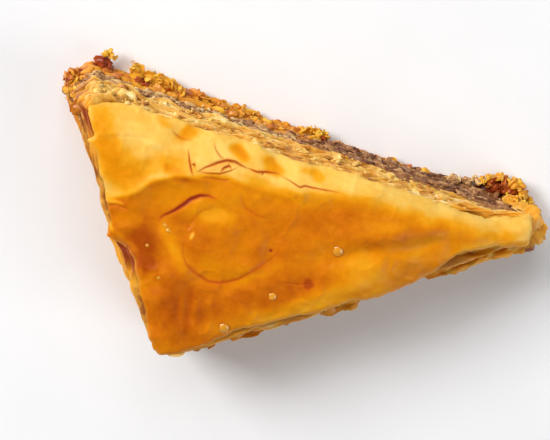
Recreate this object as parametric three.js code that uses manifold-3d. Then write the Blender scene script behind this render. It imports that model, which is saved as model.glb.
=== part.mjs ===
// A right-triangular piece of baklava, cut from a tray: thin crisp base sheets, one layer of ground
// nuts, and a deep stack of pale sheets under a glazed, blistered top sheet.
//
// Millimetres, +Z up. +X runs along the longest cut, from the sharp tip to the broad end; the longest
// cut faces -Y and the square corner points to +Y. The last step moves everything by TO_CENTRE, so
// that the origin lies on the table in the middle of the piece's box.
import * as THREE from "three";
import { mergeVertices } from "three/addons/utils/BufferGeometryUtils.js";
import Module from "manifold-3d";

const wasm = await Module();
wasm.setup();

// ---- Driving dimensions -------------------------------------------------------------------------

const LONGEST_CUT = 111.8; // before its two ends are blunted
const DEPTH = 51.5; // from the longest cut to the square corner
const SQUARE_FROM_TIP = 71.5; // along the longest cut
const HEIGHT = 24;
const BASE_THICKNESS = 3.8;
const NUT_THICKNESS = 4.8;
const CUT_Y = -23.7; // the longest cut, at the table
const TIP_X = -55.3;
const TIP_BLUNT = [8.5, 8]; // taken off the sharp tip, along the longest cut and along the long leg
const BROAD_BLUNT = [8, 8]; // taken off the broad corner, along the longest cut and along the short leg

const NUT_Z = BASE_THICKNESS;
const STACK_Z = BASE_THICKNESS + NUT_THICKNESS;

// How far each side leans in, at these shares of the height there: the table, the nuts, half way up
// the stack, and the top edge.
const LEAN_LEVELS = [0, 0.28, 0.62, 0.95];
const LEAN_CUT_BROAD = [0, 1.4, 2.2, 3.1];
const LEAN_CUT_MIDDLE = [0.4, 0.2, 1.6, 2.4];
const LEAN_CUT_TIP = [0.8, 0.2, 0.6, 0.6];
const LEAN_SHORT_BROAD = [0, 0.5, 1.8, 2.7];
const LEAN_SHORT_CORNER = [0.8, 0.5, 0.2, 0];
const LEAN_LONG_TIP = [0.6, 0.2, 0.2, 3.2];
const LEAN_LONG_CORNER = [0.6, 0.4, 0.2, 2.4];

const TO_CENTRE = [-0.2, 1.7];
const AROUND = 120; // points round an outline
const STACK_RIBS = 7; // bands of sheets that show up the stack's side
const RIB_DEPTH = 0.5;
const TOP_OVERHANG = 0.2; // of the top sheet, over the sheets under it
const TOP_GRID = 1.3; // spacing of the top sheet's relief

// Stretches of the long side where the sheet under the top one sticks out, between these places along X.
const LEDGES = [
  { from: -50, to: -27, out: 1.4 },
  { from: -17, to: 7, out: 1.3 },
];
// The top sheet narrows here, on the long side, to a beak at the tip.
const TUCK = { at: -36, width: 6, in: 1.8 };

// The top sheet falls away towards each side over a shoulder.
const CUT_SHOULDER = { drop: 3.2, broad: 10, tip: 5 };
const LONG_SHOULDER = { drop: 3.4, width: 8 };
const SHORT_SHOULDER = { drop: 1.6, width: 5 };
const TIP_FALL = { drop: 5.2, from: -10, to: -48 };

// ---- Small helpers ------------------------------------------------------------------------------

const clamp01 = (t) => Math.min(1, Math.max(0, t));
const mix = (a, b, t) => a + (b - a) * t;
const level = (z) => () => z;
const DEG = Math.PI / 180;

// 0 at a, 1 at b, with a soft start and end.
function smooth(a, b, v) {
  const t = clamp01((v - a) / (b - a));
  return t * t * (3 - 2 * t);
}

// One repeatable number from 0 to 1 for each whole-number place and seed.
function hash(i, j, seed) {
  let h = Math.imul(i, 374761393) + Math.imul(j, 668265263) + Math.imul(seed, 2147483647);
  h = Math.imul(h ^ (h >>> 13), 1274126177);
  return ((h ^ (h >>> 16)) >>> 0) / 4294967296;
}

// Smooth unevenness from -1 to 1, with features about one unit across.
function noise(x, y, seed) {
  const i = Math.floor(x);
  const j = Math.floor(y);
  const u = smooth(0, 1, x - i);
  const v = smooth(0, 1, y - j);
  const low = mix(hash(i, j, seed), hash(i + 1, j, seed), u);
  const high = mix(hash(i, j + 1, seed), hash(i + 1, j + 1, seed), u);
  return 2 * mix(low, high, v) - 1;
}

// Reads a row of values given at LEAN_LEVELS.
function atLevel(values, level) {
  let k = 0;
  while (k < LEAN_LEVELS.length - 2 && level > LEAN_LEVELS[k + 1]) k++;
  const t = clamp01((level - LEAN_LEVELS[k]) / (LEAN_LEVELS[k + 1] - LEAN_LEVELS[k]));
  return mix(values[k], values[k + 1], t);
}

// ---- Footprint ----------------------------------------------------------------------------------

const TIP = new THREE.Vector2(TIP_X, CUT_Y);
const BROAD = new THREE.Vector2(TIP_X + LONGEST_CUT, CUT_Y);
const SQUARE = new THREE.Vector2(TIP_X + SQUARE_FROM_TIP, CUT_Y + DEPTH);

const alongLong = SQUARE.clone().sub(TIP).normalize();
const alongShort = SQUARE.clone().sub(BROAD).normalize();

// How far a point lies inside each of the three cuts.
const fromCut = (x, y) => y - CUT_Y;
const fromLong = (x, y) => alongLong.y * (x - TIP.x) - alongLong.x * (y - TIP.y);
const fromShort = (x, y) => -alongShort.y * (x - BROAD.x) + alongShort.x * (y - BROAD.y);

// Evenly spaced points round the footprint, each with the direction that points inwards.
function footprint() {
  const alongCut = new THREE.Vector2(1, 0);
  const corners = [
    { at: TIP.clone().addScaledVector(alongCut, TIP_BLUNT[0]), round: 1.6 },
    { at: BROAD.clone().addScaledVector(alongCut, -BROAD_BLUNT[0]), round: 2 },
    { at: BROAD.clone().addScaledVector(alongShort, BROAD_BLUNT[1]), round: 1.6 },
    { at: SQUARE, round: 7 },
    { at: TIP.clone().addScaledVector(alongLong, TIP_BLUNT[1]), round: 1.6 },
  ];
  const path = new THREE.Path();
  corners.forEach(({ at, round }, k) => {
    const before = corners[(k + corners.length - 1) % corners.length].at;
    const after = corners[(k + 1) % corners.length].at;
    const enter = at.clone().add(before.clone().sub(at).setLength(round));
    const leave = at.clone().add(after.clone().sub(at).setLength(round));
    if (k === 0) path.moveTo(enter.x, enter.y);
    else path.lineTo(enter.x, enter.y);
    path.quadraticCurveTo(at.x, at.y, leave.x, leave.y);
  });
  path.closePath();
  const points = path.getSpacedPoints(AROUND).slice(0, AROUND);
  return points.map((p, k) => {
    const before = points[(k + AROUND - 1) % AROUND];
    const after = points[(k + 1) % AROUND];
    const along = after.clone().sub(before).normalize();
    return { x: p.x, y: p.y, inX: -along.y, inY: along.x, step: k };
  });
}

function leanOfCut(x, level) {
  const middle = mix(atLevel(LEAN_CUT_MIDDLE, level), atLevel(LEAN_CUT_BROAD, level), smooth(-8, 8, x));
  return mix(atLevel(LEAN_CUT_TIP, level), middle, smooth(-45, -38, x));
}

// How far the side leans in at a footprint point, and at a share of the height there.
function lean(x, y, level) {
  const nearCut = smooth(7, 1, fromCut(x, y));
  const nearShort = smooth(7, 1, fromShort(x, y));
  const nearLong = smooth(7, 1, fromLong(x, y));
  const short = mix(atLevel(LEAN_SHORT_BROAD, level), atLevel(LEAN_SHORT_CORNER, level), smooth(-16, 0, y));
  const long = mix(atLevel(LEAN_LONG_TIP, level), atLevel(LEAN_LONG_CORNER, level), smooth(-38, -22, x));
  const total = Math.max(nearCut + nearShort + nearLong, 1);
  return (leanOfCut(x, level) * nearCut + short * nearShort + long * nearLong) / total;
}

// ---- Top sheet ----------------------------------------------------------------------------------

// A point's distance from a bent line, the side it lies on (1 is left, -1 is right), and a share that
// fades from 1 to 0 towards the line's two ends.
function across(line, x, y) {
  let best = { distance: Infinity, side: 0, along: 0 };
  for (let k = 0; k < line.length - 1; k++) {
    const [ax, ay] = line[k];
    const dx = line[k + 1][0] - ax;
    const dy = line[k + 1][1] - ay;
    const t = clamp01(((x - ax) * dx + (y - ay) * dy) / (dx * dx + dy * dy));
    const distance = Math.hypot(x - ax - t * dx, y - ay - t * dy);
    if (distance < best.distance) {
      const side = Math.sign(dx * (y - ay) - dy * (x - ax));
      best = { distance, side, along: (k + t) / (line.length - 1) };
    }
  }
  best.fade = smooth(0, 0.2, best.along) * smooth(1, 0.8, best.along);
  return best;
}

// The top sheet laps over itself along these lines: the line's right-hand side stands higher.
const SLIT = [[28, -0.8], [24.9, -4.4], [22.7, -7.6], [20.2, -9.1], [17, -9.3]];
const TEAR = [[24, -12.6], [21.4, -15], [18.4, -16.8], [14.4, -16.3], [9.4, -17.4], [3, -16.4], [-5, -17.5]];
const LAPS = [
  { line: SLIT, rise: 0.9, reach: 5 },
  { line: TEAR, rise: 0.7, reach: 4 },
];

// Low folds in the top sheet: one where the flat top turns to the shoulder, and those that gather
// towards the tip.
const FOLDS = [
  { line: [[38, -1], [34, -6.1], [30, -9.4], [25, -12], [19, -12]], rise: 0.6, width: 2.2 },
  { line: [[-6, -9], [-17, -12.6], [-24, -15.8], [-38, -20]], rise: 0.7, width: 2.6 },
  { line: [[-2, -3], [-14, -7.8], [-24, -12.4], [-36, -18.2]], rise: -0.6, width: 2.2 },
  { line: [[1, -12], [-9, -16], [-20, -17.2], [-34, -20]], rise: -0.5, width: 2.4 },
  { line: [[24, 16], [20, 10], [18, 4]], rise: 0.4, width: 2.4 },
];

// Dents where the shoulder has sunk between the sheets' bubbles, beside the longest cut.
const DENTS = [
  { at: [28, -18.4], deep: 0.8, wide: 3 },
  { at: [17.2, -19.6], deep: 1.0, wide: 2.2 },
  { at: [8.6, -19.4], deep: 1.2, wide: 3 },
  { at: [1, -19.6], deep: 0.9, wide: 2.4 },
  { at: [31.5, 5.6], deep: 1.2, wide: 2.6 },
  { at: [36.5, -3.5], deep: 0.7, wide: 2.4 },
];

const BLISTER = { at: [12.9, -1], across: 18.6, deep: 15.2, turn: 0.27, rise: 0.6, rim: 0.6, rimWidth: 0.2 };

const shoulder = (distance, width) => clamp01(1 - distance / width) ** 2;

// The flat blister: a low disc with a sunk crease round it.
function blister(x, y) {
  const dx = x - BLISTER.at[0];
  const dy = y - BLISTER.at[1];
  const along = (dx * Math.cos(BLISTER.turn) + dy * Math.sin(BLISTER.turn)) / (BLISTER.across / 2);
  const over = (dy * Math.cos(BLISTER.turn) - dx * Math.sin(BLISTER.turn)) / (BLISTER.deep / 2);
  const r = Math.hypot(along, over);
  return BLISTER.rise * smooth(1, 0.6, r) - BLISTER.rim * Math.exp(-(((r - 1) / BLISTER.rimWidth) ** 2));
}

function topHeight(x, y) {
  const cutWidth = mix(CUT_SHOULDER.tip, CUT_SHOULDER.broad, smooth(-8, 26, x));
  const cutEdge = leanOfCut(x, 1);
  let z = HEIGHT - TIP_FALL.drop * smooth(TIP_FALL.from, TIP_FALL.to, x);
  z -= CUT_SHOULDER.drop * shoulder(fromCut(x, y) - cutEdge, cutWidth);
  z -= LONG_SHOULDER.drop * shoulder(fromLong(x, y), LONG_SHOULDER.width);
  z -= SHORT_SHOULDER.drop * shoulder(fromShort(x, y), SHORT_SHOULDER.width);
  z += 0.35 * noise(x / 9, y / 7, 3) + 0.2 * noise(x / 3.6, y / 3.1, 5);
  z += blister(x, y);
  for (const { line, rise, reach } of LAPS) {
    const { distance, side, fade } = across(line, x, y);
    z += rise * fade * smooth(reach, 0, distance) * smooth(0.9, -0.9, side * distance);
  }
  for (const { line, rise, width } of FOLDS) {
    const { distance, fade } = across(line, x, y);
    z += rise * fade * Math.exp(-((distance / width) ** 2));
  }
  for (const { at, deep, wide } of DENTS) {
    z -= deep * Math.exp(-(((x - at[0]) ** 2 + (y - at[1]) ** 2) / wide ** 2));
  }
  return z;
}

// ---- Rings --------------------------------------------------------------------------------------

const FOOTPRINT = footprint().map((p) => ({ ...p, edge: topHeight(p.x + 2.5 * p.inX, p.y + 2.5 * p.inY) }));

// The footprint's points moved in by the side's lean and by a further amount for each point.
function ring(heightOf, furtherIn) {
  return FOOTPRINT.map((p) => {
    const z = heightOf(p);
    const inwards = lean(p.x, p.y, z / p.edge) + furtherIn(p);
    return [p.x + p.inX * inwards, p.y + p.inY * inwards, z];
  });
}

// ---- Solids -------------------------------------------------------------------------------------

// A closed mesh becomes a solid that can be joined and cut.
function solidOf(geometry) {
  const bare = new THREE.BufferGeometry();
  bare.setAttribute("position", geometry.getAttribute("position"));
  bare.setIndex(geometry.index);
  const merged = mergeVertices(bare, 1e-4);
  return new wasm.Manifold(
    new wasm.Mesh({
      numProp: 3,
      vertProperties: new Float32Array(merged.attributes.position.array),
      triVerts: new Uint32Array(merged.index.array),
    }),
  );
}

function geometryOf(solid) {
  const mesh = solid.getMesh();
  const geometry = new THREE.BufferGeometry();
  geometry.setAttribute("position", new THREE.BufferAttribute(mesh.vertProperties, 3));
  geometry.setIndex(new THREE.BufferAttribute(mesh.triVerts, 1));
  geometry.computeVertexNormals();
  return geometry;
}

function geometryFrom(positions, triangles) {
  const geometry = new THREE.BufferGeometry();
  geometry.setAttribute("position", new THREE.Float32BufferAttribute(positions.flat(), 3));
  geometry.setIndex(triangles.flat());
  return geometry;
}

// A closed body through a pile of rings, lowest first, with a fan across the lowest and the highest.
function loft(rings) {
  const positions = rings.flat();
  const triangles = [];
  for (let level = 0; level < rings.length - 1; level++) {
    for (let k = 0; k < AROUND; k++) {
      const a = level * AROUND + k;
      const b = level * AROUND + ((k + 1) % AROUND);
      triangles.push([a, b, b + AROUND], [a, b + AROUND, a + AROUND]);
    }
  }
  const middle = (points) => [0, 1, 2].map((axis) => points.reduce((sum, p) => sum + p[axis], 0) / AROUND);
  const low = positions.length;
  const high = low + 1;
  const topStart = (rings.length - 1) * AROUND;
  positions.push(middle(rings[0]), middle(rings.at(-1)));
  for (let k = 0; k < AROUND; k++) {
    const next = (k + 1) % AROUND;
    triangles.push([low, next, k], [high, topStart + k, topStart + next]);
  }
  return geometryFrom(positions, triangles);
}

// A block with a flat underside whose upper face is the top sheet's relief.
function reliefBlock() {
  const floor = STACK_Z - 4;
  const margin = 3;
  const startX = TIP.x + TIP_BLUNT[0] - 2 * margin;
  const startY = CUT_Y - margin;
  const columns = Math.ceil((BROAD.x + margin - startX) / TOP_GRID);
  const rows = Math.ceil((SQUARE.y + margin - startY) / TOP_GRID);
  const positions = [];
  const triangles = [];
  const at = (i, j, layer) => layer * (columns + 1) * (rows + 1) + j * (columns + 1) + i;
  for (const layer of [0, 1]) {
    for (let j = 0; j <= rows; j++) {
      for (let i = 0; i <= columns; i++) {
        const x = startX + i * TOP_GRID;
        const y = startY + j * TOP_GRID;
        positions.push([x, y, layer ? topHeight(x, y) : floor]);
      }
    }
  }
  for (let j = 0; j < rows; j++) {
    for (let i = 0; i < columns; i++) {
      triangles.push([at(i, j, 1), at(i + 1, j, 1), at(i + 1, j + 1, 1)]);
      triangles.push([at(i, j, 1), at(i + 1, j + 1, 1), at(i, j + 1, 1)]);
      triangles.push([at(i, j, 0), at(i + 1, j + 1, 0), at(i + 1, j, 0)]);
      triangles.push([at(i, j, 0), at(i, j + 1, 0), at(i + 1, j + 1, 0)]);
    }
  }
  const wall = (a, b) => {
    const up = (columns + 1) * (rows + 1);
    triangles.push([a, b, b + up], [a, b + up, a + up]);
  };
  for (let i = 0; i < columns; i++) {
    wall(at(i, 0, 0), at(i + 1, 0, 0));
    wall(at(i + 1, rows, 0), at(i, rows, 0));
  }
  for (let j = 0; j < rows; j++) {
    wall(at(columns, j, 0), at(columns, j + 1, 0));
    wall(at(0, j + 1, 0), at(0, j, 0));
  }
  return geometryFrom(positions, triangles);
}

// A torn scrap of sheet: a thin crumpled leaf with a ragged rim, which curls up towards its free end.
function scrap({ at, turn, tilt = 0, long, wide, curl = 0.2, thick = 0.8, seed = 1 }) {
  const SIDES = 11;
  const positions = [];
  const triangles = [];
  const place = (reach, angle, face) => {
    const u = 0.5 + 0.5 * reach * Math.cos(angle);
    const v = 0.5 * reach * Math.sin(angle);
    const crumple = 0.14 * wide * noise(2.2 * u, 2.2 * v + 9, seed);
    const half = (face - 0.5) * thick * (1.3 - 0.7 * reach);
    positions.push([long * u, wide * v, curl * long * u * u + crumple + half]);
  };
  for (const face of [0, 1]) {
    place(0, 0, face);
    for (const reach of [0.55, 1]) {
      for (let k = 0; k < SIDES; k++) {
        const ragged = 1 + 0.3 * (reach === 1) * noise(k * 1.37, 2.5, seed + 3);
        place(reach * ragged, (2 * Math.PI * k) / SIDES, face);
      }
    }
  }
  const index = (circle, k, face) => face * (1 + 2 * SIDES) + 1 + circle * SIDES + (k % SIDES);
  for (let k = 0; k < SIDES; k++) {
    for (const face of [0, 1]) {
      const turned = (a, b, c) => triangles.push(face ? [a, b, c] : [a, c, b]);
      turned(face * (1 + 2 * SIDES), index(0, k, face), index(0, k + 1, face));
      turned(index(0, k, face), index(1, k, face), index(1, k + 1, face));
      turned(index(0, k, face), index(1, k + 1, face), index(0, k + 1, face));
    }
    triangles.push([index(1, k, 0), index(1, k + 1, 0), index(1, k + 1, 1)]);
    triangles.push([index(1, k, 0), index(1, k + 1, 1), index(1, k, 1)]);
  }
  const geometry = geometryFrom(positions, triangles);
  geometry.rotateY(-tilt);
  geometry.rotateZ(turn);
  geometry.translate(...at);
  return solidOf(geometry);
}

// A bead of syrup on the top sheet.
function bead({ at: [x, y], radius }) {
  const geometry = new THREE.SphereGeometry(radius, 7, 4);
  geometry.rotateX(Math.PI / 2);
  geometry.scale(1, 1, 0.6);
  geometry.translate(x, y, topHeight(x, y));
  return solidOf(geometry);
}

// ---- Sub-parts ----------------------------------------------------------------------------------

// Browned scraps that stand out of the base sheets: each starts inside the base and points out of it.
const BASE_SCRAPS = [
  // the broad corner
  { at: [45.6, -20.6, 1.8], turn: -88 * DEG, long: 5.6, wide: 4.6, curl: 0.1, thick: 1.2, seed: 2 },
  { at: [46.4, -22.4, 2.6], turn: -86 * DEG, long: 5, wide: 5.4, curl: 0.15, tilt: 0.1, seed: 3 },
  { at: [48.6, -18.2, 2.0], turn: -40 * DEG, long: 4.8, wide: 4.2, curl: 0.2, tilt: 0.3, seed: 20 },
  { at: [49.2, -15.6, 2.4], turn: 0, long: 3.4, wide: 4.4, curl: 0.1, tilt: 0.3, thick: 1.2, seed: 21 },
  // along the longest cut
  { at: [38.4, -21.8, 2.0], turn: -84 * DEG, long: 5.8, wide: 4, curl: 0.14, seed: 5 },
  { at: [31.8, -21.4, 1.8], turn: -72 * DEG, long: 5.2, wide: 7.6, curl: 0.12, seed: 8 },
  { at: [24.2, -21.6, 1.8], turn: -92 * DEG, long: 3.8, wide: 7, curl: 0.08, seed: 11 },
  { at: [14.2, -21.6, 1.6], turn: -90 * DEG, long: 3.6, wide: 7.4, curl: 0.1, seed: 14 },
  { at: [0.2, -21.6, 1.8], turn: -86 * DEG, long: 4.2, wide: 5.2, curl: 0.12, seed: 17 },
  { at: [-14, -21.8, 1.6], turn: -90 * DEG, long: 3.2, wide: 8, curl: 0.05, seed: 18 },
  // the tip
  { at: [-33.6, -20.8, 1.8], turn: -100 * DEG, long: 7.2, wide: 5.6, curl: 0.12, seed: 23 },
  { at: [-38.6, -20.8, 1.6], turn: -92 * DEG, long: 8, wide: 6.6, curl: 0.3, thick: 1.2, seed: 26 },
  { at: [-43.2, -20.8, 1.8], turn: -104 * DEG, long: 7.6, wide: 6.4, curl: 0.34, thick: 1.1, seed: 27 },
  { at: [-45.4, -19.6, 2.0], turn: -138 * DEG, long: 7.4, wide: 5.2, curl: 0.2, seed: 28 },
  { at: [-46.2, -18.2, 2.2], turn: -170 * DEG, long: 6, wide: 5, curl: 0.1, tilt: 0.1, seed: 29 },
];

// Scraps of the stack's own sheets that have broken outwards at the two blunt ends.
const STACK_SCRAPS = [
  { at: [45.4, -17.8, 12.2], turn: -70 * DEG, long: 5, wide: 4.6, curl: -0.1, seed: 32 },
  { at: [40.6, -19.2, 14.8], turn: -85 * DEG, long: 3.6, wide: 5.4, curl: -0.14, seed: 35 },
  { at: [47.6, -15.4, 13], turn: -14 * DEG, long: 3.2, wide: 4.4, curl: -0.1, seed: 36 },
  { at: [-42.6, -19.8, 12.6], turn: -150 * DEG, long: 6.8, wide: 4.8, curl: -0.12, seed: 38 },
  { at: [-44.4, -17.6, 11.4], turn: 174 * DEG, long: 5.4, wide: 4.2, curl: -0.1, seed: 41 },
];

const BEADS = [
  { at: [-8.3, -6.5], radius: 1.1 },
  { at: [1.1, 6.2], radius: 0.85 },
  { at: [8, 15.4], radius: 1.1 },
  { at: [25.6, -0.5], radius: 0.7 },
  { at: [28.1, 4.2], radius: 0.5 },
  { at: [23.9, 9.6], radius: 0.5 },
];

// The largest piece of a solid, without the crumbs that cutting may leave.
function largest(solid) {
  return solid.decompose().reduce((best, piece) => (piece.volume() > best.volume() ? piece : best));
}

// What the upper layers need to themselves, all the way up, with room round them for their uneven sides.
function roomAboveBase() {
  const ROOM = 1.6;
  const heights = [BASE_THICKNESS, STACK_Z, 14, HEIGHT + 4];
  return solidOf(loft(heights.map((z) => ring(level(z), () => -ROOM))));
}

function basePastry() {
  const uneven = (amount, seed) => (p) => amount * noise(p.step / 2.4, seed, seed);
  const rings = [
    ring(level(0), uneven(0.15, 1)),
    ring(level(0.7), (p) => -0.3 + uneven(0.4, 2)(p)),
    ring(level(1.3), (p) => 0.35 + uneven(0.3, 3)(p)),
    ring(level(2.1), (p) => -0.2 + uneven(0.5, 4)(p)),
    ring(level(2.7), (p) => 0.4 + uneven(0.3, 5)(p)),
    ring(level(3.4), (p) => uneven(0.45, 6)(p)),
    ring(level(BASE_THICKNESS), (p) => 0.4 + uneven(0.2, 7)(p)),
  ];
  const whole = BASE_SCRAPS.map(scrap).reduce((sum, piece) => sum.add(piece), solidOf(loft(rings)));
  return geometryOf(largest(whole.subtract(roomAboveBase())));
}

function nutFilling() {
  const crumbly = (amount, seed) => (p) => amount * (noise(p.step / 1.3, seed, seed) - 0.3);
  const share = (t) => level(mix(NUT_Z, STACK_Z, t));
  return loft([
    ring(share(0), () => 0.7),
    ring(share(0.2), crumbly(0.6, 11)),
    ring(share(0.42), crumbly(0.8, 12)),
    ring(share(0.62), crumbly(0.7, 13)),
    ring(share(0.82), crumbly(0.8, 14)),
    ring(share(1), () => 0.8),
  ]);
}

const onLongSide = (p) => smooth(4, 1, fromLong(p.x, p.y)) * smooth(3, 8, fromCut(p.x, p.y));

// How far the sheet under the top one sticks out at a footprint point.
function ledge(p) {
  const reach = ({ from, to, out }) => out * smooth(from, from + 5, p.x) * smooth(to, to - 5, p.x);
  return onLongSide(p) * Math.max(...LEDGES.map(reach));
}

const tuck = (p) => onLongSide(p) * TUCK.in * Math.exp(-(((p.x - TUCK.at) / TUCK.width) ** 2));

// How far the sheets under the top one have sunk back at the broad end, so that the top sheet overhangs.
function hollow(p) {
  return 1.2 * smooth(2, -10, p.y) * smooth(4, 1, fromShort(p.x, p.y));
}

function stackPastry() {
  const share = (t) => (p) => mix(STACK_Z, p.edge, t);
  const top = STACK_RIBS - 1;
  const rings = [ring(share(0), () => 0.6)];
  for (let rib = 0; rib < STACK_RIBS; rib++) {
    const uneven = (p) => 0.5 * noise(p.step / 2.2, rib * 1.7, 20 + rib);
    const set = (p) => (rib === top ? tuck(p) - TOP_OVERHANG : 0) - (rib === top - 1 ? ledge(p) : 0);
    if (rib > 0) {
      const sunk = (p) => RIB_DEPTH + 0.6 * uneven(p) + (rib === top ? hollow(p) : 0);
      rings.push(ring(share(rib / STACK_RIBS), sunk));
    }
    rings.push(ring(share((rib + 0.5) / STACK_RIBS), (p) => set(p) + uneven(p)));
  }
  rings.push(rings.at(-1).map(([x, y]) => [x, y, HEIGHT + 4]));
  const body = solidOf(loft(rings)).intersect(solidOf(reliefBlock()));
  const extras = [...STACK_SCRAPS.map(scrap), ...BEADS.map(bead)];
  return geometryOf(largest(extras.reduce((sum, piece) => sum.add(piece), body)));
}

const COLOURS = { base: 0xb5721f, nuts: 0x8f6138, stack: 0xd9952b };

function subPart(name, geometry, color, roughness) {
  const mesh = new THREE.Mesh(geometry, new THREE.MeshStandardMaterial({ color, roughness, metalness: 0 }));
  mesh.name = name;
  return mesh;
}

const baklava = new THREE.Group();
baklava.position.set(...TO_CENTRE, 0);
baklava.add(
  subPart("base_sheets", basePastry(), COLOURS.base, 0.6),
  subPart("nut_filling", nutFilling(), COLOURS.nuts, 0.8),
  subPart("pastry_stack", stackPastry(), COLOURS.stack, 0.4),
);

export default baklava;
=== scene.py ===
# A piece of baklava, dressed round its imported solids: browned base sheets, ground nuts, a stack of pale
# sheets and a glazed top sheet, with the flakes, crumbs and syrup beads that the cutting left on it.
#
# The shapes are worked out in millimetres in the solids' own construction frame, where the longest cut
# lies at CUT_Y. TO_CENTRE then moves them onto the frame's origin, and MM turns them into metres.
import math
from typing import NamedTuple

import bmesh
import bpy
import numpy as np
from mathutils import Matrix, Vector
from mathutils.geometry import delaunay_2d_cdt


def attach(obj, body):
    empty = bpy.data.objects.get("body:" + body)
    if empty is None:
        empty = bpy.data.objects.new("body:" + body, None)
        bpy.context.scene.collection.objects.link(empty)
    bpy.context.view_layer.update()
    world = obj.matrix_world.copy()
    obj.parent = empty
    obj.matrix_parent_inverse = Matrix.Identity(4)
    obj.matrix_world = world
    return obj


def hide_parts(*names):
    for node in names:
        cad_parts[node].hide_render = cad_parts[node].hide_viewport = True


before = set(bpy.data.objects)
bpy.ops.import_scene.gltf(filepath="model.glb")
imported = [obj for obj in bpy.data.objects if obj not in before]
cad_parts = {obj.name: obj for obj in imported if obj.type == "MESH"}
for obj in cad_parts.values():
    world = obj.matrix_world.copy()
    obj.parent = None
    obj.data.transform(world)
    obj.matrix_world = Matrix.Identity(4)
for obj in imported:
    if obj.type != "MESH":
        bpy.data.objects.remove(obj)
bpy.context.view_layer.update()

MM = 0.001
TO_CENTRE = (-0.2, 1.7, 0.0)

# ---- Driving dimensions, the same as the solids' ----

LONGEST_CUT = 111.8  # before its two ends are blunted
DEPTH = 51.5
SQUARE_FROM_TIP = 71.5
HEIGHT = 24.0
BASE_THICKNESS = 3.8
NUT_THICKNESS = 4.8
STACK_Z = BASE_THICKNESS + NUT_THICKNESS
CUT_Y = -23.7
TIP_X = -55.3
TIP_BLUNT = (8.5, 8.0)
BROAD_BLUNT = (8.0, 8.0)

# How far each side leans in, at these shares of the height there.
LEAN_LEVELS = (0, 0.28, 0.62, 0.95)
LEAN_CUT_BROAD = (0, 1.4, 2.2, 3.1)
LEAN_CUT_MIDDLE = (0.4, 0.2, 1.6, 2.4)
LEAN_CUT_TIP = (0.8, 0.2, 0.6, 0.6)
LEAN_SHORT_BROAD = (0, 0.5, 1.8, 2.7)
LEAN_SHORT_CORNER = (0.8, 0.5, 0.2, 0)
LEAN_LONG_TIP = (0.6, 0.2, 0.2, 3.2)
LEAN_LONG_CORNER = (0.6, 0.4, 0.2, 2.4)

SOLID_STEPS = 120  # points round the solids' outline: their unevenness is counted in these steps
STACK_RIBS = 7
RIB_DEPTH = 0.5
TOP_OVERHANG = 0.2
LEDGES = ((-50, -27, 1.4), (-17, 7, 1.3))  # from, to, out
TUCK = {"at": -36, "width": 6, "in": 1.8}
CUT_SHOULDER = {"drop": 3.2, "broad": 10, "tip": 5}
LONG_SHOULDER = {"drop": 3.4, "width": 8}
SHORT_SHOULDER = {"drop": 1.6, "width": 5}
TIP_FALL = {"drop": 5.2, "from": -10, "to": -48}

RANDOM_SEED = 41


# ---- Small helpers ----

def clamp01(t):
    return np.clip(t, 0, 1)


def mix(a, b, t):
    return a + (b - a) * t


def smooth(a, b, v):
    """0 at a, 1 at b, with a soft start and end."""
    t = clamp01((v - a) / (b - a))
    return t * t * (3 - 2 * t)


def bell(distance, width):
    """1 at no distance, falling away over the width."""
    return np.exp(-((distance / width) ** 2))


def hash01(i, j, seed):
    """One repeatable number from 0 to 1 for each whole-number place and seed, as the solids have it."""
    word = np.uint64(0xFFFFFFFF)
    i = np.asarray(i, np.int64).astype(np.uint64)
    j = np.asarray(j, np.int64).astype(np.uint64)
    start = np.uint64((seed * 2147483647) & 0xFFFFFFFF)
    with np.errstate(over="ignore"):
        h = (i * np.uint64(374761393) + j * np.uint64(668265263) + start) & word
        h = ((h ^ (h >> np.uint64(13))) * np.uint64(1274126177)) & word
    return (h ^ (h >> np.uint64(16))).astype(float) / 4294967296


def noise(x, y, seed):
    """Smooth unevenness from -1 to 1, with features about one unit across."""
    x, y = np.broadcast_arrays(np.asarray(x, float), np.asarray(y, float))
    i = np.floor(x)
    j = np.floor(y)
    u = smooth(0, 1, x - i)
    v = smooth(0, 1, y - j)
    low = mix(hash01(i, j, seed), hash01(i + 1, j, seed), u)
    high = mix(hash01(i, j + 1, seed), hash01(i + 1, j + 1, seed), u)
    return 2 * mix(low, high, v) - 1


def rough_noise(x, y, seed):
    """Unevenness with finer and finer detail on it."""
    coarse = 0.55 * noise(x, y, seed)
    return coarse + 0.3 * noise(2.1 * x, 2.1 * y, seed + 1) + 0.15 * noise(4.3 * x, 4.3 * y, seed + 2)


def columns(*values):
    """Values side by side, such as the x, y and z of points."""
    return np.stack(values, axis=-1)


def measured(path):
    """How far along a path each of its points is."""
    return np.concatenate([[0], np.cumsum(np.linalg.norm(np.diff(path, axis=0), axis=1))])


def places_on(path, run, places):
    """x and y at places along a path. run is how far along it each of its own points is."""
    return np.interp(places, run, path[:, 0]), np.interp(places, run, path[:, 1])


def distance_to(at, x, y):
    return np.hypot(x - at[0], y - at[1])


def oval_reach(dx, dy, long, wide, turn):
    """0 at the middle of an oval, 1 on its rim."""
    c, s = math.cos(turn), math.sin(turn)
    return np.hypot((dx * c + dy * s) / (long / 2), (dy * c - dx * s) / (wide / 2))


# ---- Footprint ----

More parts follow.
